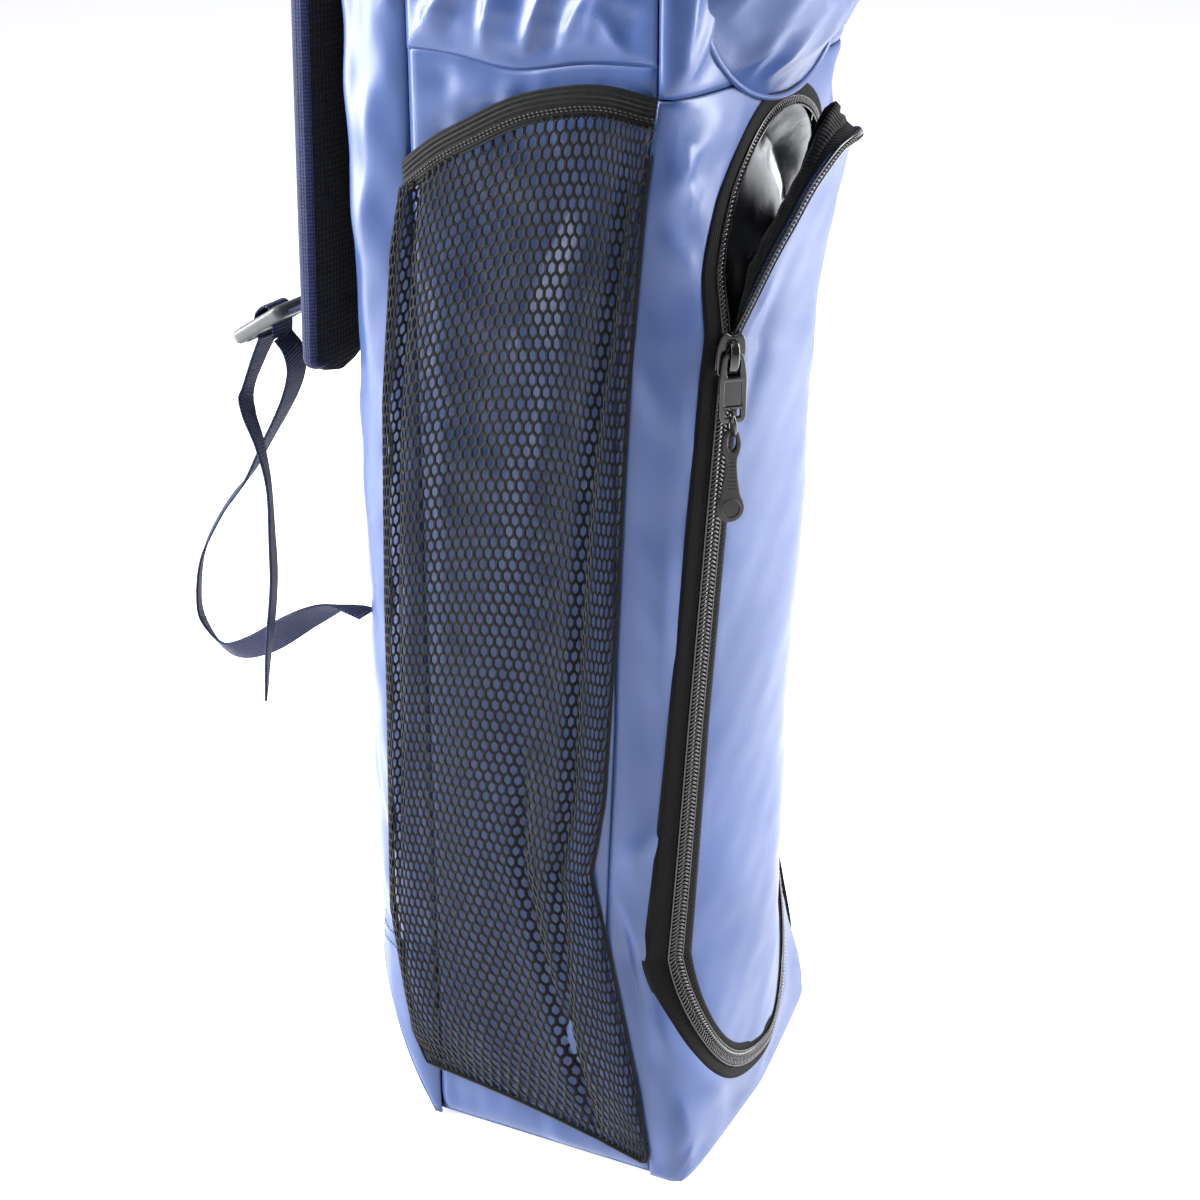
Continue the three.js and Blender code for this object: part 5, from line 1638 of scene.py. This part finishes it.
def hardware():
    crown = rounded([(-7.2, -11), (-4, -12.6), (4, -12.6), (7.2, -11), (7.9, 3), (7, 9), (4.6, 12.2), (1.2, 10.2),
                     (-1.2, 10.2), (-4.6, 12.2), (-7, 9), (-7.9, 3)], 2.2)
    top = shifted(plate(crown, 2.6, 0.9), (0, -5.0, 0))
    lower = shifted(plate(crown, 1.4, 0.5), (0, 0.3, 0))
    post = plate(rounded([(-2.6, 3), (2.6, 3), (1.6, 10.2), (-1.6, 10.2)], 0.8), 5.6, 0.5)
    bridge = arch([(-6.2, -8.6), (-9.6, -8.0), (-12.2, -4.6), (-12.4, 2.0), (-10.2, 6.4), (-6.2, 7.6)], 5.0, 1.7)
    hump = shifted(plate(ellipse(0, 0, 3.6, 6.6), 1.4, 0.6), (0, -6.6, -1.0))
    flanges = [shifted(plate(rounded([(-0.9, -9), (0.9, -9), (0.9, 5), (-0.9, 5)], 0.8), 3.0, 0.5), (x, -3.0, 0))
               for x in (-7.0, 7.0)]
    piece("front_slider",
          placed([top, lower, shifted(post, (0, -2.4, 0)), bridge, hump, *flanges], SLIDER_BASIS, SLIDER_AT),
          "slider_metal", "front_slider", ["front_slider"])

    outline = rounded([(-5.2, 1.6), (-6.2, -3), (-7.5, -12), (-7.5, -33), (-6, -36.2), (6, -36.2), (7.5, -33),
                       (7.5, -12), (6.2, -3), (5.2, 1.6)], 2.4)
    top_slot = rounded([(-3.3, -1.2), (3.3, -1.2), (3.6, -11), (-3.6, -11)], 1.6)
    window = rounded([(-4.6, -13.6), (4.6, -13.6), (4.8, -26.6), (-4.8, -26.6)], 0.9)
    foot_slot = rounded([(-4.2, -28.4), (4.2, -28.4), (4.2, -32.8), (-4.2, -32.8)], 0.8)
    frame_part = plate(outline, 2.5, 0.75, [top_slot, window, foot_slot])
    recess = plate(rounded([(-5.2, -13), (5.2, -13), (5.4, -27), (-5.4, -27)], 0.6), 1.0, 0.2)
    piece("pull_tab", placed([frame_part, recess], PULL_BASIS, PULL_AT), "slider_metal", "pull_tab", ["pull_tab"])

    a = np.linspace(0, 2 * np.pi, 72, endpoint=False)
    ring_line = np.stack([0.35 * np.sin(2 * a), 6.2 * np.cos(a), -36.6 + 6.2 * np.sin(a)], -1)
    ring = tube_arrays(ring_line, round_section(0.85, 12), np.tile([1.0, 0, 0], (72, 1)), closed=True)
    piece("pull_ring", placed([ring], PULL_BASIS, PULL_AT), "slider_metal", "pull_ring", ["pull_ring"])

    right = [(4.6, -4.4), (5.2, -8), (4.6, -12), (3.3, -16), (3.2, -20), (3.7, -26), (4.6, -32), (5.6, -37), (7.0, -40)]
    disc = ellipse(0, -44, 7.8, 7.8, 24, math.radians(26), math.radians(-206), True)
    top_arc = ellipse(0, -5.2, 4.7, 6.0, 14, math.radians(172), math.radians(8), True)
    edge = smooth_path(right, 26).tolist()
    outline = [*edge, *disc, *[(-x, z) for x, z in edge[::-1]], *top_arc]
    body = plate(outline, 3.8, 1.15, [ellipse(0, -6.8, 2.6, 5.0, 20)])
    badge_line = np.stack([5.2 * np.cos(a), np.full(72, -1.9), -44 + 5.2 * np.sin(a)], -1)
    badge = tube_arrays(badge_line, round_section(0.55, 8), np.tile([0.0, 1, 0], (72, 1)), closed=True)
    ridges = [tube_arrays(np.stack([np.linspace(-2.2, 2.2, 9), np.full(9, -1.75), np.full(9, z)], -1),
                          round_section(0.5, 8), np.tile([0.0, 1, 0], (9, 1))) for z in np.arange(-33, -16, 2.1)]
    parts = [shifted(p, (0, 0, -40.2)) for p in (body, badge, *ridges)]
    piece("rubber_puller", placed(parts, PULL_BASIS, PULL_AT), "puller_rubber", "rubber_puller", ["rubber_puller"])


hardware()


def small_hardware():
    """The two plain sliders and their pulls: along X at the top, up the side at the rim."""
    body = plate(rounded([(-9, -4.6), (7, -5.2), (9, -3), (9, 3), (7, 5.2), (-9, 4.6)], 1.8), 2.8, 0.8)
    loop = tube_arrays(smooth_path([(-5, -1.2, 0), (-4.4, -3.2, 0), (0, -3.7, 0), (4.4, -3.2, 0), (5, -1.2, 0)], 30),
                       round_section(0.9, 8), np.tile([0.0, 0, 1], (30, 1)))
    pull = plate(rounded([(0, -3.8), (24, -4.4), (27.4, -2), (27.4, 2), (24, 4.4), (0, 3.8)], 1.6), 2.0, 0.6,
                 [rounded([(17, -1.8), (23.4, -1.8), (23.4, 1.8), (17, 1.8)], 0.8),
                  rounded([(1.6, -1.8), (7, -1.8), (7, 1.8), (1.6, 1.8)], 0.8)])
    # Rows are where the plate's x, y and z run: the plate's -y is outwards.
    for prefix, basis, origin in (
            ("upper", [(1, 0, 0), (0, 0, -1), (0, 1, 0)], (-58, -133.5, 852)),
            ("main", [(0, -1, 0), (1, 0, 0), (0, 0, 1)], (-121.2, 46, 888.4))):
        out = -np.array(basis[1], float)
        piece(f"{prefix}_slider", placed([body, loop], basis, np.array(origin) + out * 2.0),
              "slider_metal", f"{prefix}_slider", [f"{prefix}_slider"])
        piece(f"{prefix}_slider_pull", placed([pull], basis, np.array(origin) + out * 5.0), "slider_metal",
              f"{prefix}_slider_pull", [f"{prefix}_slider_pull"])


small_hardware()


def ladder_lock(word, side):
    w, length = 17, 38
    outline = rounded([(-w + 3, 3.2), (-w, 0), (-w, 3 - length), (-w + 4, -length), (w - 4, -length), (w, 3 - length),
                       (w, 0), (w - 3, 3.2)], 4.5, 8)
    upper = rounded([(-12.2, -11), (12.2, -11), (12.2, -4.6), (-12.2, -4.6)], 1.2)
    lower = rounded([(-11.8, -24.4), (11.8, -24.4), (11.8, -15.6), (-11.8, -15.6)], 1.2)
    body = plate(outline, 8.4, 3.0, [upper, lower], 5)
    grips = [tube_arrays(np.stack([np.linspace(-9, 9, 15), np.full(15, y), np.full(15, z)], -1), round_section(0.75, 8),
                         np.tile([0.0, 1, 0], (15, 1))) for z in (-28, -30.6, -33.2) for y in (-4.2, 4.2)]
    teeth = [tube_arrays(np.stack([np.linspace(-11, 11, 15), np.full(15, -1.9), np.full(15, -13.3)], -1),
                         round_section(0.8, 8), np.tile([0.0, 1, 0], (15, 1)))]
    tilt = math.radians(58)
    basis = [(1, 0, 0), (0, math.cos(tilt), math.sin(tilt)), (0, -math.sin(tilt), math.cos(tilt))]
    piece(f"ladder_lock_{word}", placed([body, *grips, *teeth], basis, (side * STRAP_X, 164, 506)),
          "lock_plastic", f"lock_{word}", [f"ladder_lock_{word}"])
    # The webbing's turn through the two slots and over the bar between them.
    turn = smooth_path([(171.5, 488.6), (170.9, 496), (171, 502.6), (173.8, 507.2), (178.4, 506.4), (182.8, 501.6),
                        (183, 495), (181.4, 487.2)], 44)
    line = np.stack([np.full(44, side * STRAP_X), turn[:, 0], turn[:, 1]], -1)
    piece(f"lock_webbing_{word}",
          tube_arrays(line, strap_section(WEB_WIDTH, WEB_THICK), np.tile([1.0, 0, 0], (44, 1))),
          "webbing", f"lock_{word}")


both(ladder_lock)


INNER_WALL = (100, 76, -75.6)  # its reach to the left and right, and its front face


def inner_wall():
    """The padded wall between the front pocket and the main compartment."""
    x, z = np.meshgrid(between(-INNER_WALL[0], INNER_WALL[1], 40), between(11, 639, 90), indexing="ij")
    grid = np.stack([x, np.full_like(x, INNER_WALL[2]), z], -1)
    fabric("inner_front_wall", grid, "bag", ["inner_front_wall"], 2.6, "foam_lining", (), (0.6, 70), 141, 0.4,
           away=(0, -1, 0))


inner_wall()

# ---------------------------------------------------------------------- floor and light


FLOOR_RADIUS, FLOOR_SIDES = 30.0, 96


def floor():
    material = bpy.data.materials.new("floor")
    material.use_nodes = True
    shader = material.node_tree.nodes["Principled BSDF"]
    shader.inputs["Base Color"].default_value = (0.97, 0.97, 0.975, 1)
    shader.inputs["Roughness"].default_value = 0.55
    shader.inputs["Emission Color"].default_value = (1, 1, 1, 1)
    shader.inputs["Emission Strength"].default_value = 0.68
    angle = np.linspace(0, 2 * np.pi, FLOOR_SIDES, endpoint=False)
    verts = [(FLOOR_RADIUS * math.cos(t), FLOOR_RADIUS * math.sin(t), -0.0002) for t in angle]
    faces = [list(range(FLOOR_SIDES))]
    mesh = bpy.data.meshes.new("floor")
    mesh.from_pydata(verts, [], faces)
    mesh.shade_smooth()
    mesh.materials.append(material)
    made = bpy.data.objects.new("floor", mesh)
    bpy.context.scene.collection.objects.link(made)


floor()


def softbox(name, azimuth, elevation, distance, size, power, target=(0, 0, 0.42), tint=(1, 1, 1)):
    a, e = math.radians(azimuth), math.radians(elevation)
    back = Vector((math.sin(a) * math.cos(e), -math.cos(a) * math.cos(e), math.sin(e)))
    light = bpy.data.lights.new(name, "AREA")
    light.shape, light.size, light.size_y, light.energy, light.color = "RECTANGLE", *size, power, tint
    holder = bpy.data.objects.new(name, light)
    bpy.context.scene.collection.objects.link(holder)
    holder.location = Vector(target) + back * distance
    holder.rotation_mode = "QUATERNION"
    holder.rotation_quaternion = (-back).to_track_quat("-Z", "Y")


def light_scene():
    world = bpy.data.worlds.new("studio")
    bpy.context.scene.world = world
    world.use_nodes = True
    world.node_tree.nodes["Background"].inputs["Color"].default_value = (0.93, 0.95, 1, 1)
    world.node_tree.nodes["Background"].inputs["Strength"].default_value = 0.26
    softbox("left_box", CAMERA_AZIMUTH - 92, 22, 2.0, (0.9, 2.2), 165)
    softbox("right_box", CAMERA_AZIMUTH + 98, 22, 2.0, (0.9, 2.2), 118)
    softbox("top_box", CAMERA_AZIMUTH - 10, 70, 2.3, (1.4, 1.2), 20)
    bpy.context.scene.view_settings.view_transform = "Standard"
    bpy.context.scene.view_settings.look = "None"


light_scene()
